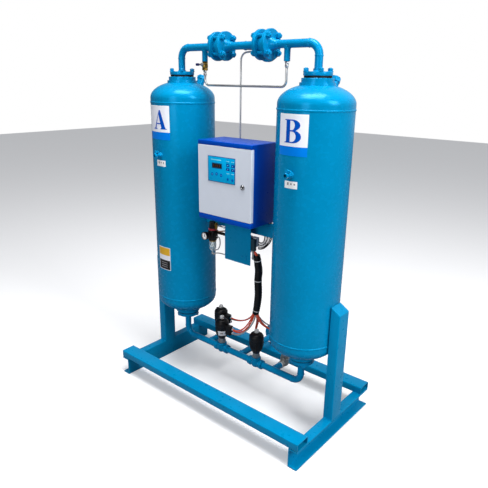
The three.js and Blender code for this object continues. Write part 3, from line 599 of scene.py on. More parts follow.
def post(name, cad):
    """A box post with a sloped cap and a weld bead around its foot."""
    low, high = node(cad)
    side = 1 if high.x > 0 else -1
    inner, outer = sorted((abs(low.x), abs(high.x)))
    drop = 30
    centre_x = side * (inner + outer) / 2
    width, depth = outer - inner, high.y - low.y

    def ring(inset, slope, z):
        outline = round_rect(width - 2 * inset, depth - 2 * inset, 4 - inset, 4)
        return [Vector((centre_x + u, v, z - slope * drop * (side * u + width / 2) / width)) for u,
                v in outline]

    shape = Shape()
    rings = [ring(0, 0, low.z), ring(0, 0, low.z + 8), ring(0, 1, high.z - 4), ring(0.4, 1, high.z - 2),
             ring(1.6, 1, high.z)]
    shape.stack(rings)
    weld_height = low.z + 1.5
    bead = [Vector((centre_x + u, v, weld_height)) for u, v in round_rect(width - 5, depth + 2, 5, 6)]
    dense = [a.lerp(b, i / 8) for a, b in zip(bead, bead[1:] + bead[:1]) for i in range(8)]
    shape.sweep(dense, 2.4, 6, loop=True)
    make(name, shape, sky_frame, cad=cad)


SADDLE_LOW, SADDLE_HIGH = 478, 653
RAIL_WELD = (568, 609)


def weld_run(shape, start, end, count, radius, swell, rate):
    """A rippled bead from one point to another."""
    path = [tuple(a + (b - a) * i / count for a, b in zip(start, end)) for i in range(count + 1)]
    shape.sweep(path, lambda share: radius + swell * sin(share * count * rate), 8)


def saddle_welds():
    """The posts are welded to the shells along both edges."""
    for letter, side in SIDES:
        shape = Shape()
        for y in (-14, 14):
            x = side * (TOWER_X + sqrt(TOWER_R**2 - y**2) + 0.4)
            weld_run(shape, (x, y, SADDLE_LOW), (x, y, SADDLE_HIGH), 110, 2.6, 0.5, 1.9)
        make(f"saddle_weld_{letter}", shape, sky_frame)


def rail_welds():
    """Fillet welds where the rails cross the channels."""
    shape = Shape()
    for cad in ("front_rail", "rear_rail"):
        low, high = node(cad)
        for side in (-1, 1):
            for y in (low.y - 0.5, high.y + 0.5):
                if abs(y) > 320:
                    continue
                start, end = ((side * x, y, low.z + 0.6) for x in RAIL_WELD)
                weld_run(shape, start, end, 26, 2.5, 0.5, 2.1)
    make("rail_welds", shape, sky_frame)


# ---- Towers ----


def bead_ring(shape, m, radius, width=5.0, skin=0, count=240, proud=0.7):
    """A rippled weld bead around a round part, half sunk in it."""
    rings = []
    for i in range(count):
        angle = TAU * i / count
        swell = 1 + 0.10 * sin(i * 1.7) + 0.06 * sin(i * 0.61)
        ring = []
        for k in range(8):
            t = TAU * k / 8
            r = radius + proud * 2 * swell * cos(t) - proud
            ring.append(m @ Vector((r * cos(angle), r * sin(angle), width / 2 * swell * sin(t))))
        rings.append(ring)
    shape.stack(rings, skin, loop=True)


def head_arc(skirt, upward, radius, depth, neck, steps=22):
    """The elliptical profile of a tower head."""
    first = asin(neck / radius)
    arc = []
    for i in range(steps + 1):
        a = first + (QUARTER - first) * i / steps
        arc.append((radius * sin(a), skirt + upward * depth * cos(a)))
    return arc


def tower(letter, side):
    """Shell, heads and necks in one closed skin, with the girth weld beads; the fill port and sampling
    socket come from their own functions.
    """
    x = side * TOWER_X
    m = at(x)
    wall = 6
    high, low = SEAM_HIGH + HEAD_SKIRT, SEAM_LOW - HEAD_SKIRT
    crown_high, crown_low = NECK_TOP - NECK_RISE, NECK_BOTTOM + NECK_RISE
    inner_r, inner_depth = TOWER_R - wall, TOWER_R / 2 - wall
    fillet = [(NECK_R + 7 * (1 - sin(a)), 9 * (1 - cos(a))) for a in (0, 0.4, 0.8, 1.2, QUARTER)]
    profile = [(NECK_BORE, NECK_BOTTOM), (NECK_R - 1, NECK_BOTTOM), (NECK_R, NECK_BOTTOM + 1)]
    profile += [(r, crown_low + 6 - 9 + h) for r, h in reversed(fillet)]
    profile += head_arc(low, -1, TOWER_R, TOWER_R / 2, 75)
    profile += [(TOWER_R, low + 6), (TOWER_R, SEAM_LOW), (TOWER_R, SEAM_HIGH), (TOWER_R, high - 6)]
    profile += head_arc(high, 1, TOWER_R, TOWER_R / 2, 75)[::-1]
    profile += [(r, crown_high - 6 + 9 - h) for r, h in fillet]
    profile += [(NECK_R, NECK_TOP - 1), (NECK_R - 1, NECK_TOP), (NECK_BORE, NECK_TOP)]
    profile += head_arc(high, 1, inner_r, inner_depth, NECK_BORE, 12)
    profile += head_arc(low, -1, inner_r, inner_depth, NECK_BORE, 12)[::-1]
    shape = Shape()
    shape.lathe(m, profile, 160, loop=True)
    make(f"tower_{letter}_shell", shape, sky, cad="tower_shell_" + letter, smooth=40)
    seams = Shape()
    for z in (SEAM_HIGH, SEAM_LOW):
        bead_ring(seams, at(x, 0, z), TOWER_R + 0.2, 11.0, proud=1.9)
    make(f"tower_{letter}_girth_welds", seams, sky, smooth=60)


FILL_TILT = pi * 0.155


def fill_port(letter):
    """The filling socket on the upper head, with its hexagon cap."""
    direction = Vector((0, sin(FILL_TILT), cos(FILL_TILT)))
    m = at(*middle("fill_cap_" + letter), axis=direction)
    shape = Shape()
    shape.lathe(m, [(0, -60), (20, -60), (20, -12), (0, -12)], 40)
    shape.hexagon(m, 43, -11, 6)
    shape.disc(m, 20, 5, 11, 2)
    bead_ring(shape, m @ at(0, 0, -44), 20.5, 7, count=90)
    make(f"fill_port_{letter}", shape, sky_cast, cad="fill_cap_" + letter)


SAMPLE_Z = 1264


def sampling_socket(letter, side):
    """A welded socket with an open-ended cock pointing forwards."""
    x = side * TOWER_X
    m = at(x, -TOWER_R, SAMPLE_Z, "-y")
    shape = Shape()
    shape.disc(m, 14, -2, 9, 1.5, 32)
    bead_ring(shape, m, 14.5, 5, count=60)
    shape.hexagon(m, 24, 9, 18)
    barrel = [(0, 22), (7.2, 22), (7.2, 40.3), (10.4, 40.3), (11.4, 39), (11.4, 24), (9.5, 22), (9.5, 17),
              (0, 17)]
    shape.lathe(m, barrel, 32)
    # A black disc on the floor of the open bore is painted shade: it darkens the inside of the port.
    shape.disc(m, 7.1, 21.9, 23, 0.2, 24, skin=1)
    front = -TOWER_R - 28
    shape.disc(at(x, front, SAMPLE_Z + 9), 7, 0, 9, 1.5, 24)
    shape.sweep([(x - 4, front, SAMPLE_Z + 20), (x + 6, front, SAMPLE_Z + 21),
            (x + 20, front + 2, SAMPLE_Z + 17)], 4, 12)
    make(f"sampling_cock_{letter}", shape, [sky_cast, soft_black])


def wrapped(cx, radius, facing, z0):
    """Places sheet coordinates on a tower: u along the arc, v up, side 1 lying just outside side 0."""

    def place(u, v, layer):
        angle = facing + u / radius
        r = radius + layer
        return (cx + r * sin(angle), -r * cos(angle), z0 + v)

    return place


def sheet(shape, place, width, height, low, high, skin=0, columns=20, centre=0.0, base=0.0):
    """A wrapped rectangle between two layers above the tower."""
    rings = []
    for i in range(columns + 1):
        u = centre + width * (i / columns - 0.5)
        corners = ((base, low), (base + height, low), (base + height, high), (base, high))
        rings.append([Vector(place(u, v, layer)) for v, layer in corners])
    shape.stack(rings, skin)


def arc_points(cx, cy, rx, ry, start, end, steps=12):
    span = end - start
    angles = [radians(start + span * i / steps) for i in range(steps + 1)]
    return [(cx + rx * cos(a), cy + ry * sin(a)) for a in angles]


def letter_outline(letter):
    """A plain serif capital in a box about 1 wide and 1 high, as an outline and its holes."""
    if letter == "a":
        outer = [(0.0, 0.0), (0.31, 0.0), (0.31, 0.035), (0.225, 0.055), (0.28, 0.26), (0.585, 0.26),
                (0.635, 0.055),
                 (0.56, 0.035), (0.56, 0.0), (1.0, 0.0), (1.0, 0.035), (0.92, 0.055), (0.58, 1.0),
                (0.49, 1.0),
                 (0.12, 0.055), (0.0, 0.035)]
        return outer, [[(0.30, 0.325), (0.565, 0.325), (0.435, 0.80)]]
    outer = [(0.0, 0.0), *arc_points(0.52, 0.275, 0.44, 0.275, -90, 62, 14), (0.66, 0.525),
             *arc_points(0.48, 0.765, 0.42, 0.235, -52, 90, 12), (0.0, 1.0), (0.0, 0.965), (0.10, 0.945),
             (0.10, 0.055),
             (0.0, 0.035)]
    lower = [(0.34, 0.055), *arc_points(0.46, 0.275, 0.22, 0.22, -90, 90, 12), (0.34, 0.495)]
    upper = [(0.34, 0.55), *arc_points(0.44, 0.75, 0.17, 0.20, -90, 90, 12), (0.34, 0.95)]
    return outer, [lower, upper]


PLATE_HIGH, PLATE_LOW, BAND_LOW = 1503, 1377, 1340
PLATE_WIDTH = {-1: 150, 1: 142}
PLATE_FACING = {-1: radians(-4), 1: radians(-1.3)}


def letter_plate(letter, side):
    """A white plate over a blue band, with the tower letter standing on it."""
    cx = side * TOWER_X
    place = wrapped(cx, TOWER_R, PLATE_FACING[side], 0)
    shape = Shape()
    sheet(shape, place, PLATE_WIDTH[side], PLATE_HIGH - PLATE_LOW, 0.1, 0.8, 2, base=PLATE_LOW)
    sheet(shape, place, PLATE_WIDTH[side] - 7, PLATE_HIGH - PLATE_LOW - 7, 0.8, 0.95, 0,
          base=PLATE_LOW + 3.5)
    sheet(shape, place, PLATE_WIDTH[side], PLATE_LOW - BAND_LOW, 0.1, 0.7, 1, base=BAND_LOW)
    make(f"letter_plate_{letter}", shape, [label_grey, label_band, label_white])
    width, height = (90, 91) if side < 0 else (82, 91)
    outer, holes = letter_outline(letter)
    left, base = -width / 2 + (14 if side < 0 else 5), PLATE_LOW + 14

    def on_plate(u, v, layer):
        return place(left + u * width, base + v * height, 0.96 + 0.35 * layer)

    ink = Shape()
    strips = 26
    flat = bmesh.new()
    loops = [[Vector((x, y, 0)) for x, y in loop] for loop in [outer, *holes]]
    corners = [flat.verts.new(p) for loop in loops for p in loop]
    for triangle in tessellate_polygon(loops):
        flat.faces.new([corners[i] for i in triangle])
    for i in range(1, strips):
        geometry = flat.verts[:] + flat.edges[:] + flat.faces[:]
        bmesh.ops.bisect_plane(flat, geom=geometry, plane_co=(i / strips, 0, 0), plane_no=(1, 0, 0))
    flat.verts.ensure_lookup_table()
    flat.verts.index_update()
    count = len(flat.verts)
    for layer in (0, 1):
        ink.points.extend(Vector(on_plate(v.co.x, v.co.y, layer)) for v in flat.verts)
    for f in flat.faces:
        ids = [v.index for v in f.verts]
        ink.face(tuple(ids[::-1]), 0)
        ink.face(tuple(i + count for i in ids), 0)
    for e in flat.edges:
        if e.is_boundary:
            a, b = (v.index for v in e.verts)
            ink.face((a, b, b + count, a + count), 0)
    flat.free()
    make(f"letter_{letter}", ink, label_ink)


def small_labels():
    for letter, side in SIDES:
        cx = side * TOWER_X
        place = wrapped(cx, TOWER_R, radians(2), 0)
        shape = Shape()
        sheet(shape, place, 62, 30, 0.1, 0.5, 0, 8, centre=-4, base=1208)
        for u, width, low, tall in ((-18, 8, 1221, 11), (-2, 7, 1223, 7), (14, 7, 1223, 7)):
            sheet(shape, place, width, tall, 0.5, 0.62, 1, 4, centre=u, base=low)
        make(f"small_label_{letter}", shape, [label_white, print_grey])


# ---- Flanges, bolts and top pipework ----


def bolt_positions(radius, count=4, first=45):
    """Bolt centres on a pitch circle, from an angle in degrees."""
    return circle(radius, count, radians(first))


def cover(letter, side, upper):
    """A bolted cover with its gasket."""
    x = side * TOWER_X
    m = at(x, 0, NECK_TOP) if upper else at(x, 0, NECK_BOTTOM, "-z")
    place = "top" if upper else "bottom"
    gasket = Shape()
    gasket.ring(m, NECK_BORE, 57.5, 0.3, 8.7, 1.0, 96)
    make(f"{place}_gasket_{letter}_ring", gasket, soft_black, cad="top_gasket_" + letter if upper else "")
    shape = Shape()
    shape.disc(m, 60, 9, 25, 1.4, 96)
    for u, v in bolt_positions(50):
        spot = m @ at(u, v)
        shape.disc(spot, 12.5, 24.5, 27, 0.5, 32)
        shape.hexagon(spot @ turned(u), 19, 27, 38)
        shape.disc(spot, 5.8, 37, 40, 0.8, 20)
    bead_ring(shape, m @ at(0, 0, 26), PIPE_R + 2, 8, count=110, proud=2.2)
    make(f"{place}_cover_{letter}", shape, sky_cast)


FLANGE = [(PIPE_R + 0.6, -46), (PIPE_R + 2, -38), (26, -20), (29, -16), (61, -16), (63, -14.5), (63, -2),
          (61.5, -0.5), (44, -0.5), (43, 0)]


def flange(shape, m):
    """A welding-neck flange with its face at the local origin, looking along local Z."""
    shape.lathe(m, [(0, -46), *FLANGE, (0, 0)], 96)
    bead_ring(shape, m @ at(0, 0, -47), PIPE_R + 0.6, 6, count=100, proud=1.2)


def top_pipe(letter, side):
    x = side * TOWER_X
    face = side * (CHECK_X + 17)
    shape = Shape()
    path = route([(x, 0, NECK_TOP + 24), (x, 0, TOP_Z), (face + side * 2, 0, TOP_Z)], BEND_R, 16)
    shape.sweep(path, PIPE_R, 48)
    flange(shape, at(face, 0, TOP_Z, "-x" if side > 0 else "x"))
    for m, radius in (
        (at(x, 0, TOP_Z - BEND_R), PIPE_R),
        (at(x - side * BEND_R, 0, TOP_Z, "x"), PIPE_R),
    ):
        bead_ring(shape, m, radius + 0.3, 6, count=110, proud=1.2)
    purge_x = side * abs(middle("purge_valve").x) if letter == "a" else node("purge_tube")[1].x - 10
    low = {"a": node("purge_valve")[1].z, "b": node("purge_tube")[1].z}[letter]
    branch = [(0, low + 0.3), (12.8, low + 0.3), (13.5, low + 1), (13.5, TOP_Z - 19), (15.5, TOP_Z - 14),
              (16, TOP_Z - 4), (0, TOP_Z)]
    shape.lathe(at(purge_x), branch, 40)
    bead_ring(shape, at(purge_x, 0, TOP_Z - 17), 14.2, 5, count=80, proud=1.4)
    make(f"top_pipe_{letter}", shape, sky_cast, cad="outlet_pipe_" + letter)


def check_valve(letter, side):
    x = side * CHECK_X
    shape = Shape()
    m = at(x, 0, TOP_Z, "x")
    body = [(0, -16.7), (38, -16.7), (39, -15.7), (39, -8), (44, -6), (44, 6), (39, 8), (39, 15.7),
            (38, 16.7), (0, 16.7)]
    shape.lathe(m, body, 80)
    for u, v in bolt_positions(49):
        spot = m @ at(u, v)
        shape.lathe(spot, [(0, -54), (6, -54), (7, -53), (7, 53), (6, 54), (0, 54)], 24)
        for end in (-1, 1):
            low, high = sorted((end * 33.3, end * 36))
            shape.disc(spot, 14.5, low, high, 0.6, 32)
            low, high = sorted((end * 36, end * 48))
            shape.hexagon(spot @ turned(u + v), 23, low, high)
    make(f"check_valve_{letter}_assembly", shape, sky_cast, cad="check_valve_" + letter)


PILOT_TAP_X = node("pilot_tube")[1].x - 7
PILOT_TAP_WAY = (0, sqrt(0.5), -sqrt(0.5))


def centre_pipe():
    """The outlet pipe between the check valves, with its rear branch and pilot tap."""
    face = CHECK_X - 17
    outlet_y = node("outlet_tee")[1].y
    shape = Shape()
    shape.sweep([(-face + 2, 0, TOP_Z), (face - 2, 0, TOP_Z)], PIPE_R, 48)
    flange(shape, at(face, 0, TOP_Z, "x"))
    flange(shape, at(-face, 0, TOP_Z, "-x"))
    shape.sweep([(0, 0, TOP_Z), (0, outlet_y - 2, TOP_Z)], PIPE_R, 48)
    bead_ring(shape, at(0, PIPE_R + 1, TOP_Z, "y"), PIPE_R + 1.5, 6, count=100, proud=1.5)
    open_flange(shape, at(0, outlet_y, TOP_Z, "y"))
    shape.lathe(at(PILOT_TAP_X, 0, TOP_Z, PILOT_TAP_WAY), [(0, 10), (9, 14), (9, 21.5), (8.5, 22),
            (0, 22)], 32)
    make("centre_pipe", shape, sky_cast, cad="outlet_tee")


def open_flange(shape, m):
    """A flange with an open bore and raised rings that mark where its bolts go."""
    shape.lathe(m, [(PIPE_BORE, 0), (PIPE_BORE, -46), *FLANGE], 96, loop=True)
    for u, v in bolt_positions(49):
        spot = m @ at(u, v)
        shape.ring(spot, 7.5, 9.5, -1.2, 0, 0.3, 32)


# ---- Purge line and pilot tube ----


def ridged(shape, m, radius, low, high, ridges, skin=0, depth=0.8, sides=32):
    """A round part with turned grooves."""
    profile = [(0, low), (radius, low)]
    for i in range(ridges):
        a = low + (high - low) * (i + 0.35) / ridges
        b = low + (high - low) * (i + 0.65) / ridges
        profile += [(radius, a), (radius - depth, a + 0.2), (radius - depth, b - 0.2), (radius, b)]
    profile += [(radius, high), (0, high)]
    shape.lathe(m, profile, sides, skin)


def purge_line():
    low, high = node("purge_valve")
    x = (low.x + high.x) / 2
    m = at(x)
    shape = Shape()
    shape.hexagon(m, 25, high.z - 12, high.z, chamfer=1.2)
    shape.lathe(m, [(0, low.z + 8), (10, low.z + 8), (13.5, low.z + 13), (14.5, low.z + 20),
            (13.5, low.z + 27), (10, high.z - 11),
                    (0, high.z - 11)], 40)
    shape.hexagon(m, 25, low.z, low.z + 11, chamfer=1.2)
    lever_low, lever_high = node("purge_lever")
    z = (lever_low.z + lever_high.z) / 2
    gland = at(x, 0, z, "-y")
    shape.disc(gland, 7.5, 8, 15, 1, 24)
    shape.hexagon(gland, 11, 15, 19)
    make("purge_ball_valve", shape, brass, cad="purge_valve")
    lever = Shape()
    lever.disc(gland, 8.5, 19.3, 22, 0.6, 32, skin=1)
    lever.hexagon(gland, 9, 22, 26.5, skin=1)
    lever.box((lever_low.x + 8, -26, z - 4), (x - 4, -22.5, z + 4), 0.8, skin=1)
    lever.box((lever_low.x, -26.5, z - 6), (x - 14, -22, z + 6), 2.0, corner=4, axis="y")
    make("purge_valve_handle", lever, [lever_blue, zinc], body="purge_lever", cad="purge_lever")

    tube_low, tube_high = node("purge_tube")
    end_x = tube_high.x - 10
    bottom = tube_low.z + 5
    start_z, end_z = low.z - 0.3, tube_high.z
    line = Shape()
    path = route([(x, 0, start_z - 6), (x, 0, bottom), (end_x, 0, bottom), (end_x, 0, end_z - 6)], 25, 14)
    line.sweep(path, 5, 24)
    for cx, top, radius in ((x, start_z, 9), (end_x, end_z, 10)):
        fit = at(cx, 0, top)
        line.hexagon(fit, radius * 1.7, -8, 0)
        ridged(line, fit, radius * 0.72, -13, -8, 1)
        line.hexagon(fit, radius * 1.6, -22, -12)
        line.lathe(fit, [(0, -27), (5.6, -27), (7, -22), (0, -21)], 24)
    make("purge_line", line, stainless, cad="purge_tube")

    pilot_low = node("pilot_tube")[0]
    tap = at(PILOT_TAP_X, 0, TOP_Z, PILOT_TAP_WAY)
    elbow = tap @ Vector((0, 0, 32.7))
    run_x, run_y = pilot_low.x + 4, 21
    pilot = Shape()
    pilot.hexagon(tap, 13, 22.3, 34, chamfer=0.8)
    pilot.disc(tap, 6.5, 33, 38.2, 1.5, 24)
    start_z = elbow.z
    corners = [(PILOT_TAP_X, run_y, start_z), (run_x, run_y, start_z - 6), (run_x, run_y, pilot_low.z)]
    pilot.sweep(route(corners, 36, 16), 4, 20)
    pilot.hexagon(at(PILOT_TAP_X - 16, run_y, start_z - 1, "x"), 12, -5, 5, chamfer=0.8)
    make("pilot_line", pilot, stainless, cad="pilot_tube")


# ---- Lower pipework and valves ----


def low_pipe(letter, side):
    x = side * TOWER_X
    end = INLET_X[letter] + side * (INLET_HALF + 0.3)
    branch_x = side * EXHAUST_X
    branch_end = EXHAUST_Y - EXHAUST_HALF - 0.3
    shape = Shape()
    path = route([(x, 0, NECK_BOTTOM - 24), (x, 0, LOW_Z), (end, 0, LOW_Z)], BEND_R, 16)
    shape.sweep(path, PIPE_R, 48)
    shape.sweep([(branch_x, 0, LOW_Z), (branch_x, branch_end, LOW_Z)], PIPE_R, 40)
    beads = (
        at(x, 0, LOW_Z + BEND_R),
        at(x - side * BEND_R, 0, LOW_Z, "x"),
        at(branch_x, PIPE_R + 1, LOW_Z, "y"),
    )
    for m in beads:
        bead_ring(shape, m, PIPE_R + 0.4, 6, count=110, proud=1.2)
    tape = Shape()
    tape.ring(at(branch_x, branch_end - 5, LOW_Z, "y"), PIPE_R - 1, PIPE_R + 1.6, 0, 4.6, 0.8, 48)
    make(f"joint_ring_{letter}", tape, white_plastic)
    make(f"low_pipe_{letter}", shape, sky_cast, cad="bottom_pipe_" + letter)


def manifold():
    left, right = INLET_X["a"] + INLET_HALF + 0.3, INLET_X["b"] - INLET_HALF - 0.3
    inlet_y = node("inlet_tee")[1].y
    shape = Shape()
    shape.sweep([(left, 0, LOW_Z), (right, 0, LOW_Z)], PIPE_R, 48)
    shape.sweep([(0, 0, LOW_Z), (0, inlet_y - 2, LOW_Z)], PIPE_R, 48)
    bead_ring(shape, at(0, PIPE_R + 1, LOW_Z, "y"), PIPE_R + 1.5, 6, count=100, proud=1.5)
    open_flange(shape, at(0, inlet_y, LOW_Z, "y"))
    make("manifold_pipe", shape, sky_cast, cad="inlet_tee")


ACTUATOR_OUTLINE = [
    (0, 60), (17.5, 60), (19, 61), (19.5, 64), (22, 68), (27.5, 77), (32.5, 89), (36, 102), (37.6, 116),
        (38, 130), (38, 152),
    (37.8, 157), (37, 160.5), (35.6, 162.5), (33.5, 164.5), (31.5, 168), (27, 171.5), (19, 173.5),
        (14.5, 174), (0, 174),
]
STEM_BORE = 6.5  # the rods slide through this in the bonnet and the actuator
PORT_HEIGHTS = (112, 136)
PORT_REACH = 82


def piston_valve(kind, letter, place, pipe_turn, block_turn, body_skin):
    """One valve: painted or bare body, steel bonnet, moulded actuator, clear cap and rising stem."""
    stem = f"{kind}_stem_{letter}"
    half, radius = (INLET_HALF, 24) if kind == "inlet" else (EXHAUST_HALF, 19)
    lying = place @ turned(pipe_turn)
    body = Shape()
    for turn in (-QUARTER, QUARTER):
        end_m = lying @ turned(turn, "Y")
        body.lathe(end_m, [(0, 16.8), (radius - 4, 16.8), (radius - 4, max(17, half - 21)),
                (radius, max(17.6, half - 17)), (radius, half - 1),
                           (radius - 1, half), (0, half)], 48)
        body.slab(end_m, lambda inset: circle(radius * 1.06 - inset, 8, QUARTER / 4), half - 16, half - 2,
                1.5)
    belly = [(0, -radius - 2), (10, -radius - 1), (19, -radius + 4), (25, -9), (27, 0), (26.5, 8),
             (25.5, 14), (26.5, 22),
             (26.5, 29), (25.5, 31.5), (22, 31.8)]
    scale = 1.0 if kind == "inlet" else 0.86
    chamber = [(16.6, 31.8), (16.6, 5.6), (0, 5.6)]
    body.lathe(place, [(r * scale, h) for r, h in belly] + chamber, 64)
    make(f"{kind}_valve_{letter}_casting", body, body_skin, cad=f"{kind}_valve_body_{letter}")
    bonnet = Shape()
    bonnet.lathe(place, [(STEM_BORE, 27.5), (17, 27.5), (17, 33), (STEM_BORE, 33)], 48, loop=True)
    hexes = [[place @ Vector((x, y, h)) for x, y in circle(r, 6)]
             for r, h in ((18.8, 32.3), (20.8, 34.3), (20.8, 48), (18.8, 50), (STEM_BORE + 1, 50),
                     (STEM_BORE + 1, 32.3))]
    bonnet.stack(hexes, loop=True)
    bonnet.lathe(place, [(STEM_BORE, 49), (16.5, 49), (17.5, 50), (17.5, 60.5), (STEM_BORE, 60.5)], 48,
            loop=True)
    make(f"{kind}_valve_{letter}_bonnet", bonnet, cast_stainless)
    actuator(kind, letter, place, block_turn)
    cap = Shape()
    outer = [(12.2, 179), (12.2, 190), (9, 194.5), (4, 195.8), (0, 196)]
    inner = [(0, 194), (3.6, 193.8), (8, 192.6), (10.6, 189), (10.6, 179)]
    cap.lathe(place, outer + inner, 40, loop=True)
    make(f"{kind}_cap_{letter}", cap, cap_clear)
    rod = Shape()
    plug = [(0, 6.3), (14.5, 6.3), (14.5, 14.3), (5, 14.3), (5, 170), (4.4, 172), (4.4, 176), (7, 176.6),
            (7, 178.6), (5, 179.4),
            (0, 179.4)]
    rod.lathe(place, plug, 32)
    make(f"{kind}_rod_{letter}", rod, stainless, body=stem, cad=stem)


def actuator(kind, letter, place, block_turn):
    """The moulded piston housing with its ribs, air connection block, ports and fittings."""
    head = Shape()
    head.lathe(place, [(STEM_BORE, 60), *ACTUATOR_OUTLINE[1:-1], (STEM_BORE, 174)], 72, loop=True)
    head.ring(place, 30, 38.6, 140, 144, 0.8, 72)
    head.lathe(place, [(8.4, 173), (17, 173), (17, 177), (15.5, 179), (8.4, 179)], 40, loop=True)
    for turn in (radians(-150), radians(30)):
        lug = place @ turned(turn) @ at(21, 0, 166)
        head.disc(lug, 7, 0, 11, 2, 24)
    ribs = 12
    for i in range(ribs):
        spot = place @ turned(TAU * i / ribs)
        path = [spot @ Vector((r + 0.4, 0, h)) for r, h in ACTUATOR_OUTLINE[4:10]]
        head.sweep(path, 1.1, 8)
    side = place @ turned(block_turn)
    head.slab(side @ at(50, 0, 124), lambda inset: round_rect(40 - 2 * inset, 28 - 2 * inset, 3 - inset),
              -26, 26, 2)
    for z in (104, 144):
        screw(head, side @ at(70, 8, z) @ turned(QUARTER, "Y"), 3, 1)
    make(f"{kind}_actuator_{letter}_head", head, [black, zinc], cad=f"{kind}_actuator_{letter}")
    fittings = Shape()
    for h in PORT_HEIGHTS:
        port = side @ at(0, 0, h) @ turned(QUARTER, "Y")
        fittings.hexagon(port, 11.5, 70.2, 75, chamfer=0.7, skin=1)
        fittings.disc(port, 6.2, 74.5, PORT_REACH - 0.2, 1.5, 24)
    make(f"{kind}_fittings_{letter}", fittings, [light_grey, chrome])


def valve_label():
    """A plain white label on the front of tower A's inlet actuator."""
    shape = Shape()
    place = at(INLET_X["a"], 0, LOW_Z)
    for low, high, from_deg, to_deg, lift, skin in ((88, 117, -84, -12, 0.7, 0),
            (98, 106, -58, -40, 1.0, 1), (98, 101, -76, -62, 1.0, 1)):
        rings = []
        for i in range(15):
            a = radians(from_deg + (to_deg - from_deg) * i / 14)
            rings.append(
                [
                    place @ Vector((r * cos(a), r * sin(a), h))
                    for r, h in ((wall_at(low), low), (wall_at(low) + lift, low),
                            (wall_at(high) + lift, high), (wall_at(high), high))
                ]
            )
        shape.stack(rings, skin)
    make("valve_label", shape, [label_white, print_grey], slot="black_plastic")


def wall_at(height):
    """The actuator's radius at a height, plus a lift for the label."""
    for (r0, h0), (r1, h1) in zip(ACTUATOR_OUTLINE[1:], ACTUATOR_OUTLINE[2:]):
        if h0 <= height <= h1:
            return r0 + (r1 - r0) * (height - h0) / (h1 - h0) + 1.4
    return TOWER_R


def silencer(letter):
    low, high = node("exhaust_silencer_" + letter)
    m = at((low.x + high.x) / 2, low.y, LOW_Z, "y")
    length = high.y - low.y
    shape = Shape()
    shape.hexagon(m, 24, 0, 11, skin=1)
    shape.lathe(m, [(0, 10), (14.5, 10), (15.8, 13), (15.8, 16), (15, 17), (13.4, length - 5),
            (10, length - 1), (0, length)], 48)
    ribs = 14
    for i in range(ribs):
        spot = m @ turned(TAU * i / ribs)
        shape.sweep([spot @ Vector((15.0, 0, 17)), spot @ Vector((13.4, 0, length - 5))], 0.8, 6)
    make(f"silencer_{letter}", shape, [sinter, brass], cad="exhaust_silencer_" + letter)


# ---- Bridge, cabinet and panel ----


def bridge():
    """The angle bar between the towers that carries the cabinet."""
    low, high = node("support_bridge")
    shape = Shape()
    shape.box((low.x, high.y - 5, low.z), (high.x, high.y, high.z), 1.2)
    shape.box((low.x, low.y, high.z - 5), (high.x, high.y - 4, high.z), 1.2)
    for side in (-1, 1):
        start, end = ((side * (high.x + 0.6), high.y + 0.6, z) for z in (low.z + 2, high.z - 2))
        weld_run(shape, start, end, 40, 2.4, 0.4, 2)
    make("bridge_angle", shape, sky_frame, cad="support_bridge")


def screw(shape, m, radius=4.5, skin=0):
    """A pan-head screw standing on local Z = 0."""
    head = [(0, 0), (radius, 0), (radius, 1.0), (radius * 0.86, 2.2), (radius * 0.5, 3.0), (0, 3.2)]
    shape.lathe(m, head, 28, skin)


def hanging_plate():
    """The plate under the cabinet that carries the pilot air parts."""
    low, high = node("valve_plate")
    shape = Shape()
    shape.box((low.x, low.y, low.z), (high.x, low.y + 3, high.z), 0.8, corner=2, axis="y")
    shape.box((low.x, low.y + 1, high.z - 3), (high.x, high.y, high.z), 0.8)
    width = high.x - low.x
    for share, z in ((0.10, 22), (0.68, 38), (0.84, 44), (0.84, 28)):
        screw(shape, at(low.x + width * share, low.y, low.z + z, "-y"), 4.2, 1)
    make("valve_mounting_plate", shape, [sky_frame, sky_cast], cad="valve_plate")


CABINET_LOW, CABINET_HIGH = node("cabinet_body")
DOOR_LOW, DOOR_HIGH = node("cabinet_door")


def upright(low, high, y, inset, radius, steps=5):
    """A rounded rectangle standing in XZ at a depth, inset from two corners."""
    flat = round_rect(high.x - low.x - 2 * inset, high.z - low.z - 2 * inset, radius, steps)
    return [Vector(((low.x + high.x) / 2 + u, y, (low.z + high.z) / 2 + v)) for u, v in flat]


def cabinet():
    low, high = CABINET_LOW, CABINET_HIGH
    front = DOOR_HIGH.y + 0.3
    edge = 3.0
    sheet_thick = 2.0
    shape = Shape()

    def outline(y, inset, radius):
        return upright(low, high, y, inset, radius)

    outer = [outline(front, 0, edge), outline(high.y - edge, 0, edge),
             outline(high.y - 0.9, 0.9, edge - 0.9), outline(high.y, edge, 0.5)]
    inner = [outline(high.y - sheet_thick, edge, 0.5), outline(high.y - sheet_thick, sheet_thick, 1),
             outline(front + sheet_thick, sheet_thick, 1)]
    opening = [outline(front + sheet_thick, 25, 6), outline(front, 25, 6)]
    shape.stack(outer, caps=False)
    shape.cap(outer[3])
    shape.stack([opening[1], opening[0], inner[2], inner[1]], skin=1, caps=False)
    shape.cap(inner[1], 1)
    shape.stack([outline(front, 0, edge), outline(front, 25, 6)], caps=False)
    make("cabinet_shell", shape, [navy, inner_white], cad="cabinet_body")

    bands = Shape()
    gap = 0.5
    bands.box((low.x, low.y, DOOR_HIGH.z + gap), (high.x, front + 1, high.z), 2.6)
    bands.box((low.x, low.y, low.z), (high.x, front + 1, DOOR_LOW.z - gap), 2.6)
    make("cabinet_bands", bands, navy)

    seal = Shape()
    inset = 12
    corners = Vector((low.x, 0, DOOR_LOW.z)), Vector((high.x, 0, DOOR_HIGH.z))
    levels = ((front - 3, inset, 3.0), (front - 0.05, inset, 3.0), (front - 0.05, inset + 8, 2.1),
              (front - 3, inset + 8, 2.1))
    seal.stack([upright(*corners, *level, 4) for level in levels], loop=True)
    make("cabinet_seal", seal, soft_black)


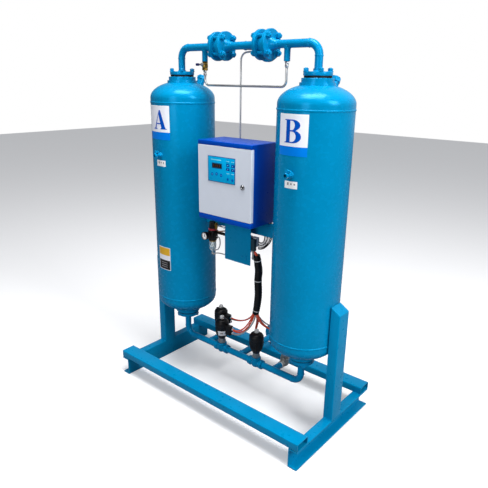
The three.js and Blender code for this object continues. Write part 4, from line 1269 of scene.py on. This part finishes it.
def cabinet_inside():
    """Mounting plate, rail, terminals, supply and wiring behind the door."""
    low, high = CABINET_LOW, CABINET_HIGH
    back = high.y - 2
    plate = Shape()
    plate.box((low.x + 20, back - 5, low.z + 20), (high.x - 20, back - 3, high.z - 20), 0.6)
    for z in (low.z + 95, low.z + 255):
        plate.box((low.x + 30, back - 10, z - 17), (high.x - 30, back - 5, z + 17), 0.5, skin=0)
        plate.box((low.x + 30, back - 13, z - 17), (high.x - 30, back - 10, z - 12), 0.4, skin=0)
        plate.box((low.x + 30, back - 13, z + 12), (high.x - 30, back - 10, z + 17), 0.4, skin=0)
    make("cabinet_mounting_plate", plate, zinc)
    blocks = Shape()
    terminals = 16
    for i in range(terminals):
        x = low.x + 45 + 12 * i
        blocks.box((x, back - 50, low.z + 72), (x + 11, back - 13, low.z + 118), 1.0, skin=i % 2)
        screw(blocks, at(x + 5.5, back - 50, low.z + 105, "-y"), 3, 2)
        screw(blocks, at(x + 5.5, back - 50, low.z + 85, "-y"), 3, 2)
    blocks.box((low.x + 45, back - 75, low.z + 205), (low.x + 125, back - 13, low.z + 305), 2.0, skin=0)
    for i in range(9):
        blocks.box((low.x + 52, back - 76, low.z + 222 + 8 * i),
                (low.x + 118, back - 74.5, low.z + 226 + 8 * i), 0.4, skin=1)
    for i in range(3):
        x = low.x + 150 + 32 * i
        blocks.box((x, back - 62, low.z + 215), (x + 27, back - 13, low.z + 295), 1.5, skin=1)
        blocks.box((x + 9, back - 70, low.z + 248), (x + 18, back - 61, low.z + 262), 1.0, skin=2)
    make("cabinet_terminals", blocks, [light_grey, grey, zinc])
    wires = Shape()
    for i in range(12):
        x = low.x + 51 + 12 * i
        top_x = low.x + 60 + 16 * i
        path = spline([(x, back - 44, low.z + 120), (x + 2, back - 52, low.z + 150),
                (top_x - 4, back - 52, low.z + 185),
                       (top_x, back - 42, low.z + 212)], 6)
        wires.sweep(path, 1.5, 8, skin=i % 3)
    make("cabinet_wires", wires, [red_tube, soft_black, label_band])


def door():
    low, high = DOOR_LOW, DOOR_HIGH
    shape = Shape()

    def outline(y, inset, radius):
        return upright(low, high, y, inset, radius)

    edge = 3.2
    arc = [QUARTER * i / 5 for i in range(6)]
    rim = [outline(low.y + edge - edge * sin(a), edge - edge * cos(a),
            max(0.3, 4 - edge * (1 - cos(a)))) for a in arc]
    rings = [outline(high.y, 2, 2), outline(high.y, 0, 4), *rim]
    shape.stack([outline(low.y + 2, edge, 2), outline(low.y + 2, 2, 2), *rings], caps=False)
    latch_low, latch_high = node("cabinet_latch")
    x = (latch_low.x + latch_high.x) / 2
    z = latch_high.z - 13
    hole = [(x + u, z + v) for u, v in circle(9, 32)]
    shape.plate([(p.x, p.z) for p in rim[-1]], [hole], lambda u, v, side: (u, low.y + 2 * side, v))
    make("door_panel", shape, door_white, body="door", cad="cabinet_door")

    m = at(x, low.y, z, "-y")
    bezel = Shape()
    bezel.ring(m, 10.6, 13, 0.1, 3.2, 1.0, 48)
    make("latch_bezel", bezel, chrome, body="door")
    core = Shape()
    core.lathe(m, [(0, -24), (8, -24), (8, 0.3), (10.2, 0.4), (10.2, 4.4), (9.4, 5.4), (6.6, 5.8),
            (6.2, 3.6), (0, 3.4)], 48)
    # A black bar in the dished face is painted shade standing for the recess of the key slot.
    core.box((x - 1.6, low.y - 5.2, z - 5.2), (x + 1.6, low.y - 3.2, z + 5.2), 0.5, skin=1)
    core.box((x - 7, latch_high.y - 3, latch_low.z), (x + 7, latch_high.y, z + 7), 0.8, skin=2)
    make("latch_core", core, [chrome, soft_black, zinc], body="latch", cad="cabinet_latch")

    hinges = Shape()
    for z in (low.z + 45, high.z - 45):
        hinges.disc(at(low.x + 0.6, high.y - 3, z), 2.0, -22, 22, 0.5, 20)
    make("door_hinge_barrels", hinges, zinc, body="door")

    housing = Shape()
    board_low, board_high = node("controller_board")
    housing.box(board_low, (board_high.x, board_high.y - 8, board_high.z), 2.0)
    housing.box((board_low.x + 8, board_high.y - 9, board_low.z + 10),
                (board_high.x - 8, board_high.y, board_low.z + 30), 1.0, skin=1)
    for i in range(12):
        spot = at(board_low.x + 14 + 7.4 * i, board_high.y - 0.5, board_low.z + 20, "y")
        screw(housing, spot, 2.2, 2)
    make("controller_housing", housing, [black, label_band, zinc], body="door", cad="controller_board",
         slot="grey_plastic")


KEY_NAMES = ("key_up_left", "key_up_right", "key_down_left", "key_down_right")


def control_panel():
    low, high = node("control_panel")
    shape = Shape()
    y = low.y

    def film_layer(border, front, back, skin):
        """Strips that leave a well around each key."""
        bottom, top = low.z + border, high.z - border
        left = low.x + border
        for column in ("left", "right"):
            lower, upper = node("key_down_" + column), node("key_up_" + column)
            x0, x1 = lower[0].x - 0.4, lower[1].x + 0.4
            shape.box((left, front, bottom), (x0, back, top), 0.05, skin=skin)
            for z0, z1 in ((bottom, lower[0].z - 0.4), (lower[1].z + 0.4, upper[0].z - 0.4),
                    (upper[1].z + 0.4, top)):
                shape.box((x0, front, z0), (x1, back, z1), 0.05, skin=skin)
            left = x1
        if high.x - border > left:
            shape.box((left, front, bottom), (high.x - border, back, top), 0.05, skin=skin)

    film_layer(0, y, high.y, 1)
    film_layer(3.2, y - 0.5, y + 0.3, 0)
    make("membrane_panel", shape, [film, film_edge], body="door", cad="control_panel")

    width, height = high.x - low.x, high.z - low.z
    printed = Shape()

    def bar(u0, u1, v0, v1, skin, depth=0.75):
        printed.box(
            (low.x + width * u0, y - depth, low.z + height * v0),
                (low.x + width * u1, y - 0.3, low.z + height * v1), 0.1, axis="y", skin=skin
        )

    bar(0.12, 0.50, 0.845, 0.885, 1)
    bar(0.155, 0.535, 0.53, 0.745, 3, 0.9)
    bar(0.175, 0.515, 0.56, 0.715, 2, 1.1)
    for i, lit in enumerate(("abcdef", "bc", "abged", "abgcd")):
        seven_segments(printed, low.x + width * (0.215 + 0.075 * i), y - 1.25, low.z + height * 0.638, lit)
    for u, v in ((0.165, 0.29), (0.33, 0.32), (0.50, 0.29)):
        ring_mark = at(low.x + width * u, y - 0.35, low.z + height * v, "-y")
        printed.disc(ring_mark, 7.5, 0, 0.35, 0.1, 32, skin=0)
        printed.disc(ring_mark, 1.8, 0.2, 0.55, 0.1, 32, skin=1)
    for u, v in ((0.745, 0.175), (0.91, 0.165)):
        printed.disc(at(low.x + width * u, y - 0.35, low.z + height * v, "-y"), 6.2, 0, 0.35, 0.1, 32,
                skin=0)
    for u in (0.70, 0.87):
        bar(u, u + 0.10, 0.385, 0.41, 1)
        bar(u, u + 0.10, 0.845, 0.87, 1)
    make("panel_print", printed, [film_ink, film_pale, screen, film_edge, digits], body="door")


def seven_segments(shape, x, y, z, lit, skin=4):
    """One digit of a seven-segment display."""
    w, h, t = 4.4, 7.6, 0.9
    spots = {
        "a": (0, h / 2, w, t), "g": (0, 0, w, t), "d": (0, -h / 2, w, t),
        "b": (w / 2, h / 4, t, h / 2), "c": (w / 2, -h / 4, t, h / 2),
        "f": (-w / 2, h / 4, t, h / 2), "e": (-w / 2, -h / 4, t, h / 2),
    }
    for name in lit:
        u, v, sx, sz = spots[name]
        shape.box((x + u - sx / 2, y, z + v - sz / 2), (x + u + sx / 2, y + 0.2, z + v + sz / 2), 0.05,
                axis="y", skin=skin)


def panel_keys():
    for name in KEY_NAMES:
        low, high = node(name)
        shape = Shape()
        shape.box(low, high, 0.5, corner=2.0, axis="y")
        cx, cz = (low.x + high.x) / 2, (low.z + high.z) / 2
        way = 1 if "up" in name else -1
        arrow = [(cx - 3.2, cz - 2 * way), (cx + 3.2, cz - 2 * way), (cx, cz + 2.6 * way)]
        shape.plate(arrow, [], lambda u, v, side: (u, low.y - 0.25 * side, v), skin=1)
        make(f"{name}_cap", shape, [key_skin, film_pale], body=name, cad=name)


# ---- Pilot air ----


REGULATOR_PORT_Z = 936
SIDE_COVER_Z = 884
RED_RING_TOP = 912


def regulator():
    """Filter regulator: body, bracket, fittings, knob, bowl, element and drain."""
    low, high = node("regulator_body")
    knob_low, knob_high = node("regulator_knob")
    x = (knob_low.x + knob_high.x) / 2
    y = (knob_low.y + knob_high.y) / 2
    m = at(x, y)
    body = Shape()
    body.box((x - 22, y - 22, low.z + 6), (x + 22, y + 22, high.z - 8), 3.0, corner=9)
    body.lathe(m, [(0, high.z - 9), (21, high.z - 9), (21.5, high.z - 6), (20, high.z), (0, high.z)], 48)
    body.lathe(m, [(0, low.z), (21, low.z), (22, low.z + 1.5), (22, low.z + 8), (0, low.z + 8)], 48)
    for side in (-1, 1):
        body.disc(at(x, y, SIDE_COVER_Z, "x"), 12, *sorted((side * 20, side * 26)), 1.5, 32)
    make("regulator_casting", body, black, cad="regulator_body")
    arm = Shape()
    arm_y = node("valve_plate")[0].y + 3.3
    arm.box((x + 20, arm_y, high.z - 16), (high.x, arm_y + 4, high.z - 1), 0.8)
    make("regulator_bracket", arm, black)
    fittings = Shape()
    plate_x = node("valve_plate")[0].x
    fittings.hexagon(at(x + 34, y - 8, REGULATOR_PORT_Z, "x"), 16, -6, 10)
    fittings.hexagon(at(x + 34, y - 8, REGULATOR_PORT_Z), 13, -20, 12)
    fittings.disc(at(x + 34, y - 8, REGULATOR_PORT_Z, "x"), 5, 8, 26, 1, 24, skin=1)
    fittings.sweep(spline([(x + 58, y - 8, REGULATOR_PORT_Z), (x + 74, y - 8, 934),
            (plate_x + 2, y - 4, 930)], 8), 4, 16, skin=1)
    fittings.sweep(spline([(x + 34, y - 8, 918), (x + 50, y - 10, 907), (plate_x + 2, y - 4, 914)], 8),
            3.4, 16, skin=2)
    make("regulator_fittings", fittings, [brass, zinc, copper])
    knob = Shape()
    knob.lathe(m, [(0, knob_low.z), (19.4, knob_low.z), (20, knob_low.z + 0.8), (20, RED_RING_TOP - 0.6),
            (19.4, RED_RING_TOP), (0, RED_RING_TOP)], 64, skin=1)
    grips = 28
    smooth_ring, deep_ring = circle(17.0, 2 * grips), circle(16.2, 2 * grips)
    outline = [smooth_ring[i] if i % 2 else deep_ring[i] for i in range(2 * grips)]
    levels = [(1.0, RED_RING_TOP), (1.0, 943), (0.94, 946), (0.84, knob_high.z)]
    knob.stack([[m @ Vector((u * s, v * s, h)) for u, v in outline] for s, h in levels])
    make("regulator_handwheel", knob, [black, red_ring], body="regulator_knob", cad="regulator_knob")
    bowl_low, bowl_high = node("regulator_bowl")
    bowl = Shape()
    top = bowl_high.z
    bowl.lathe(m, [(18.6, top), (18.6, top - 36), (17.4, top - 44), (13, top - 52), (6, top - 58),
            (4.4, top - 61), (4.4, bowl_low.z + 2),
                   (3, bowl_low.z), (0, bowl_low.z), (0, top - 50), (9, top - 48), (14.6, top - 42),
            (16.2, top - 34), (16.2, top)], 56,
               loop=True)
    make("filter_bowl", bowl, bowl_clear, cad="regulator_bowl")
    inside = Shape()
    inside.ring(m, 16, 19, top - 6, top - 1, 0.6, 48)
    inside.lathe(m, [(0, top - 1), (9, top - 1), (9, top - 30), (12.5, top - 32), (12.5, top - 34),
            (0, top - 34)], 36, skin=1)
    make("filter_element", inside, [brass, white_plastic])
    drain = Shape()
    drain.lathe(m, [(0, bowl_low.z), (5.5, bowl_low.z), (5.5, bowl_low.z + 5), (3.5, bowl_low.z + 6),
            (0, bowl_low.z + 6)], 24)
    make("bowl_drain", drain, light_grey, slot="clear_plastic")


def gauge():
    low, high = node("pressure_gauge")
    x = (low.x + high.x) / 2
    z = (low.z + high.z) / 2
    m = at(x, low.y, z, "-y")
    case = Shape()
    case.lathe(m, [(0, -7), (17.6, -7), (17.6, 0), (19, 0), (20, -1), (20, -17), (18.5, -19.5),
            (0, -19.5)], 72)
    case.lathe(m, [(0, -19), (6, -19), (6, -26), (5, -27), (5, -35), (0, -35)], 28, skin=1)
    make("gauge_case", case, [soft_black, brass], cad="pressure_gauge", slot="chrome")
    dial = Shape()
    dial.disc(m, 17.4, -6.9, -6.2, 0.1, 64)
    for i in range(31):
        a = radians(225 - 9 * i)
        long_tick = i % 5 == 0
        inner, outer = (12.6 if long_tick else 14.2), 16.4
        half = 0.42 if long_tick else 0.2
        d, n = Vector((cos(a), sin(a))), Vector((-sin(a), cos(a)))
        corners = [d * inner + n * half, d * outer + n * half, d * outer - n * half, d * inner - n * half]
        dial.plate([(c.x, c.y) for c in corners], [], lambda u, v,
                side: (x + u, low.y + 6.1 - 0.12 * side, z + v), skin=1)
    make("gauge_dial", dial, [label_white, soft_black], slot="chrome")
    lens = Shape()
    lens.disc(m, 17.5, -2.2, -1.1, 0.3, 64)
    make("gauge_lens", lens, dial_glass)
    pointer = Shape()
    yy = node("gauge_pointer")[0].y + 1.0
    pointer.disc(m, 2.4, -5.6, -4.2, 0.3, 24)
    outline = [(-0.9, -4), (0.9, -4), (0.3, 13), (-0.3, 13)]
    pointer.plate(outline, [], lambda u, v, side: (x + u, yy - 0.5 * side, z + v))
    make("gauge_needle", pointer, soft_black, body="gauge_pointer", cad="gauge_pointer")


def solenoids():
    """A valve block on the back of the plate with four coils and their connectors."""
    low, high = node("solenoid_manifold")
    shape = Shape()
    split = low.y + 20
    shape.box((low.x, low.y, low.z), (high.x, split, high.z - 3), 1.5)
    pitch = (high.x - low.x) / 4
    for i in range(4):
        x = low.x + pitch * i + 3
        shape.box((x, split - 1, high.z - 46), (x + pitch - 6, high.y, high.z), 2.5, skin=1)
        shape.box((x + 5, split + 2, high.z - 43), (x + pitch - 11, high.y - 3, high.z - 47), 1.0, skin=0)
        fitting = at(x + pitch / 2 - 3, low.y + 10, low.z, "-z")
        shape.disc(fitting, 6.5, -1, 9, 1.2, 24, skin=2)
    edge = at(high.x, low.y + 10, high.z - 14, "x")
    shape.lathe(edge, [(0, -0.4), (5, -0.4), (5, -0.1), (0, -0.1)], 24, 2)
    make("solenoid_bank", shape, [dark_teal, light_grey, white_plastic], cad="solenoid_manifold")
    bracket = Shape()
    bracket.box((high.x - 13, low.y + 2, low.z - 44), (high.x - 4, low.y + 6, low.z - 1), 0.8)
    bracket.ring(at(high.x - 8, low.y + 2, low.z - 36, "-y"), 3, 6, 0, 1.5, 0.4, 24)
    make("tube_bracket", bracket, zinc)


BUNDLE_PATH = [(128, -30, 822), (131, -24, 780), (130, -14, 735), (124, -10, 680), (128, -10, 610),
               (121, -8, 545), (108, -4, 492)]


def bundle():
    """Spiral sleeve and cable ties; air_tubes() makes the tubes that leave it at both ends."""
    path = spline(BUNDLE_PATH, 26)
    count = len(path) - 1
    turns = 30

    def radius(share):
        belly = 1 - 0.14 * abs(2 * share - 1) ** 3
        return (18.0 + 1.5 * abs(sin(share * turns * pi)) ** 0.5) * belly

    shape = Shape()
    shape.sweep(path, radius, 28)
    make("sleeve", shape, sleeve_black, cad="tube_bundle")
    ties = Shape()
    for share, size in ((0.12, 19.0), (0.50, 19.9), (0.93, 18.6)):
        i = int(share * count)
        direction = path[i + 1] - path[i - 1]
        m = at(*path[i], axis=direction.normalized())
        ties.ring(m, 16, size, -1.8, 1.8, 0.5, 48)
    make("cable_ties", ties, white_plastic)


def air_tubes():
    """Red and grey tubes from both ends of the sleeve to the actuators and the solenoids."""
    end = Vector(BUNDLE_PATH[-1])
    top = Vector(BUNDLE_PATH[0])
    red, plain = Shape(), Shape()
    port_a = Vector((INLET_X["a"] + PORT_REACH - 4, 0, LOW_Z))
    port_exhaust = Vector((PORT_REACH - 4 - EXHAUST_X, EXHAUST_Y, LOW_Z))
    back_left = Vector((-1, 1, 0)).normalized()
    port_b = Vector((INLET_X["b"], 0, LOW_Z)) + back_left * (PORT_REACH - 4)
    behind_b = Vector((EXHAUST_X, EXHAUST_Y + PORT_REACH - 4, LOW_Z))
    low, high = (Vector((0, 0, h)) for h in PORT_HEIGHTS)
    east, north = Vector((1, 0, 0)), Vector((0, 1, 0))
    runs = (
        (red, (-11, -5), port_a + high, (-8, 0, -60), east * 62 + Vector((0, 0, -14))),
        (red, (-8, 3), port_a + high + Vector((0, 3, -7)), (-8, 0, -66), east * 70 + Vector((0, 0, -22))),
        (red, (-12, 0), port_exhaust + high, (-10, 0, -50), east * 84 + Vector((0, 0, -6))),
        (plain, (-12, 6), port_exhaust + low + Vector((0, 0, 18)), (-12, 0, -44), east * 90),
        (plain, (-6, 9), port_a + low, (-4, 10, -90), east * 55 + Vector((0, 0, -14))),
        (red, (0, -2), port_b + high, (-2, 30, -60), back_left * 40 + Vector((10, 6, 50))),
        (red, (3, 6), port_b + low, (-2, 40, -70), back_left * 52 + Vector((12, 8, 60))),
        (red, (9, -2), behind_b + high, (14, 0, -120), north * 30 + Vector((-50, 0, -6))),
        (red, (11, 3), behind_b + low, (16, 4, -110), north * 34 + Vector((-56, 0, -4))),
        (plain, (7, 7), behind_b + low + Vector((4, 0, 4)), (10, 10, -90),
         north * 40 + Vector((-60, 0, 10))),
    )
    for shape, (dx, dy), target, leave, arrive in runs:
        start = end + Vector((dx, dy, 6))
        shape.sweep(bezier(start, start + Vector(leave), target + arrive, target), 4.0, 14)
    for dx, dy in ((-7, -4), (0, 5), (7, -3), (2, -8), (-3, 2)):
        start = top + Vector((dx, dy, -6))
        goal = top + Vector((dx * 1.3 - 10, dy * 0.5 - 16, 28))
        red.sweep(bezier(start, start + Vector((0, 0, 16)), goal - Vector((0, 0, 12)), goal), 3.4, 14)
    make("red_air_tubes", red, red_tube)
    make("grey_air_tubes", plain, grey_tube)


def bezier(p0, p1, p2, p3, steps=20):
    points = []
    for i in range(steps + 1):
        t = i / steps
        s = 1 - t
        points.append(p0 * s**3 + p1 * (3 * s * s * t) + p2 * (3 * s * t * t) + p3 * t**3)
    return points


def cable_loops():
    """Cables from the solenoid coils that sag and rise behind the bridge into the cabinet's floor."""
    dark, pale = Shape(), Shape()
    coil_high = node("solenoid_manifold")[1]
    entry_y = (node("support_bridge")[1].y + CABINET_HIGH.y) / 2
    for i in range(6):
        shape = pale if i in (1, 3) else dark
        start = Vector((coil_high.x - 6, coil_high.y - 6, 886 - 7 * i))
        goal = Vector((145 + 8 * i, entry_y, CABINET_LOW.z + 1))
        rise = Vector((goal.x, entry_y, 905))
        first = bezier(start, start + Vector((26, 6, -10)), rise - Vector((6, 0, 26)), rise, 18)
        shape.sweep(first + [goal], 2.7 if shape is dark else 2.2, 12)
    make("dark_cables", dark, soft_black)
    make("pale_cables", pale, white_plastic)


def regulator_tubes():
    x, y = -140, -60
    shape = Shape()
    shape.sweep(spline([(x + 22, y + 6, 872), (x + 44, y + 4, 866), (x + 50, y + 2, 836),
            (x + 36, y + 2, 806), (x + 10, y, 796)], 8), 3.2, 14)
    shape.sweep(spline([(x + 4, y, 770), (x + 20, y, 781), (x + 48, y + 1, 787), (-54, y + 2, 788)], 8),
                3.0, 14)
    make("regulator_tubes", shape, grey_tube)


def warning_plates():
    """A plain two-tone plate and a small dark one on tower A, with no lettering."""
    place = wrapped(-TOWER_X, TOWER_R, radians(-1), 0)
    shape = Shape()
    sheet(shape, place, 88, 128, 0.1, 0.5, 3, 12, base=649)
    sheet(shape, place, 82, 52, 0.5, 0.6, 0, 12, base=652)
    sheet(shape, place, 82, 42, 0.5, 0.6, 1, 12, base=732)
    for row in range(3):
        sheet(shape, place, 46, 4, 0.6, 0.7, 2, 8, base=664 + 12 * row)
    make("plain_plates", shape, [black, yellow_ink, print_grey, label_grey], slot="sky_paint")


# ---- Build everything ----


def build():
    base_channels()
    hollow_rail("front_rail_tube", "front_rail")
    hollow_rail("rear_rail_tube", "rear_rail")
    post("left_post", "post_left")
    post("right_post", "post_right")
    saddle_welds()
    rail_welds()
    for letter, side in SIDES:
        tower(letter, side)
        fill_port(letter)
        sampling_socket(letter, side)
        letter_plate(letter, side)
        cover(letter, side, True)
        cover(letter, side, False)
        top_pipe(letter, side)
        check_valve(letter, side)
        low_pipe(letter, side)
        silencer(letter)
        inlet_turn, exhaust_turn = (0, 0) if side < 0 else (1.5 * QUARTER, QUARTER)
        piston_valve("inlet", letter, at(INLET_X[letter], 0, LOW_Z), 0, inlet_turn, sky_cast)
        exhaust_place = at(side * EXHAUST_X, EXHAUST_Y, LOW_Z)
        piston_valve("exhaust", letter, exhaust_place, QUARTER, exhaust_turn, cast_stainless)
    small_labels()
    warning_plates()
    valve_label()
    centre_pipe()
    purge_line()
    manifold()
    bridge()
    hanging_plate()
    cabinet()
    cabinet_inside()
    door()
    control_panel()
    panel_keys()
    regulator()
    regulator_tubes()
    gauge()
    solenoids()
    bundle()
    air_tubes()
    cable_loops()
    inside = {"desiccant_bed_a": alumina, "desiccant_bed_b": alumina, "check_disc_a": stainless,
              "check_disc_b": stainless}
    for name, skin in inside.items():
        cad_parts[name].data.materials.clear()
        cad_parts[name].data.materials.append(skin)


# ---- Studio ----


def area_light(name, place, target, width, height, watts, glint=1.0):
    """A rectangular lamp aimed at a point; places are metres."""
    light = bpy.data.lights.new(name, "AREA")
    light.shape = "RECTANGLE"
    light.size, light.size_y = width, height
    light.energy = watts
    light.specular_factor = glint
    lamp = bpy.data.objects.new(name, light)
    lamp.location = place
    lamp.rotation_euler = (Vector(target) - Vector(place)).to_track_quat("-Z", "Y").to_euler()
    bpy.context.scene.collection.objects.link(lamp)


def pale_floor():
    """A matt floor, lifted towards white for the camera, that throws less light back on the object."""
    material, tree, shader = new_material("floor_pale")
    seen = add_node(tree, "ShaderNodeLightPath").outputs["Is Camera Ray"]
    tree.links.new(mixed(tree, seen, (0.22, 0.22, 0.23, 1), (0.80, 0.80, 0.81, 1)),
            shader.inputs["Base Color"])
    shader.inputs["Roughness"].default_value = 0.8
    shader.inputs["Specular IOR Level"].default_value = 0.1
    shader.inputs["Emission Color"].default_value = (1, 1, 1, 1)
    tree.links.new(spread(tree, seen, 0.0, 0.25, 0.0, 1.0), shader.inputs["Emission Strength"])
    return material


def studio():
    """A plain pale floor under soft light, against white, with a dim room in the reflections."""
    size = 14000
    corners = [Vector((x, y, -0.5)) * MM for x, y in ((-size, -size), (size, -size), (size, size),
            (-size, size))]
    mesh = bpy.data.meshes.new("floor")
    mesh.from_pydata([tuple(p) for p in corners], [], [(0, 1, 2, 3)])
    ground = bpy.data.objects.new("floor", mesh)
    bpy.context.scene.collection.objects.link(ground)
    mesh.materials.append(pale_floor())

    world = bpy.data.worlds.new("studio")
    world.use_nodes = True
    tree = world.node_tree
    background = tree.nodes["Background"]
    path = add_node(tree, "ShaderNodeLightPath")
    way = add_node(tree, "ShaderNodeSeparateXYZ", {0: add_node(tree,
            "ShaderNodeTexCoord").outputs["Generated"]})
    behind = spread(tree, way.outputs[1], 0.0, 1.0, 0.35, 0.95)
    mirrored = mixed(tree, behind, (0.09, 0.10, 0.11, 1), (0.50, 0.53, 0.56, 1))
    room = mixed(tree, path.outputs["Is Glossy Ray"], (0.27, 0.28, 0.30, 1), mirrored)
    tree.links.new(mixed(tree, path.outputs["Is Camera Ray"], room, (1, 1, 1, 1)),
            background.inputs["Color"])
    background.inputs["Strength"].default_value = 1.0
    bpy.context.scene.world = world
    area_light("key", (3.7, -0.3, 3.1), (0.2, 0, 0.9), 1.4, 2.2, 145)
    area_light("front", (0.6, -4.2, 2.2), (0, 0, 0.9), 1.6, 2.4, 62)
    area_light("top", (0.3, -0.5, 4.6), (0, 0, 1.0), 2.2, 1.6, 170, 0.22)


def camera():
    """The viewing angle, on a 488 x 488 frame."""
    yaw, pitch, roll = 0.69828, -0.33620, 0.014268
    place = (1.5748, -1.8467, 1.6250)
    lens = bpy.data.cameras.new("camera")
    lens.sensor_width = 36
    lens.lens = 37.17
    lens.shift_x = -0.0010
    lens.shift_y = 0.0253
    lens.clip_end = 60
    eye = bpy.data.objects.new("camera", lens)
    forward = Vector((-sin(yaw) * cos(pitch), cos(yaw) * cos(pitch), sin(pitch)))
    right = Vector((cos(yaw), sin(yaw), 0))
    up = right.cross(forward)
    right_rolled = right * cos(roll) + up * sin(roll)
    up_rolled = up * cos(roll) - right * sin(roll)
    facing = Matrix((right_rolled, up_rolled, -forward)).transposed()
    eye.matrix_world = Matrix.Translation(place) @ facing.to_4x4()
    bpy.context.scene.collection.objects.link(eye)
    bpy.context.scene.camera = eye
    bpy.context.scene.view_settings.view_transform = "Standard"
    bpy.context.scene.view_settings.look = "None"


build()
studio()
camera()
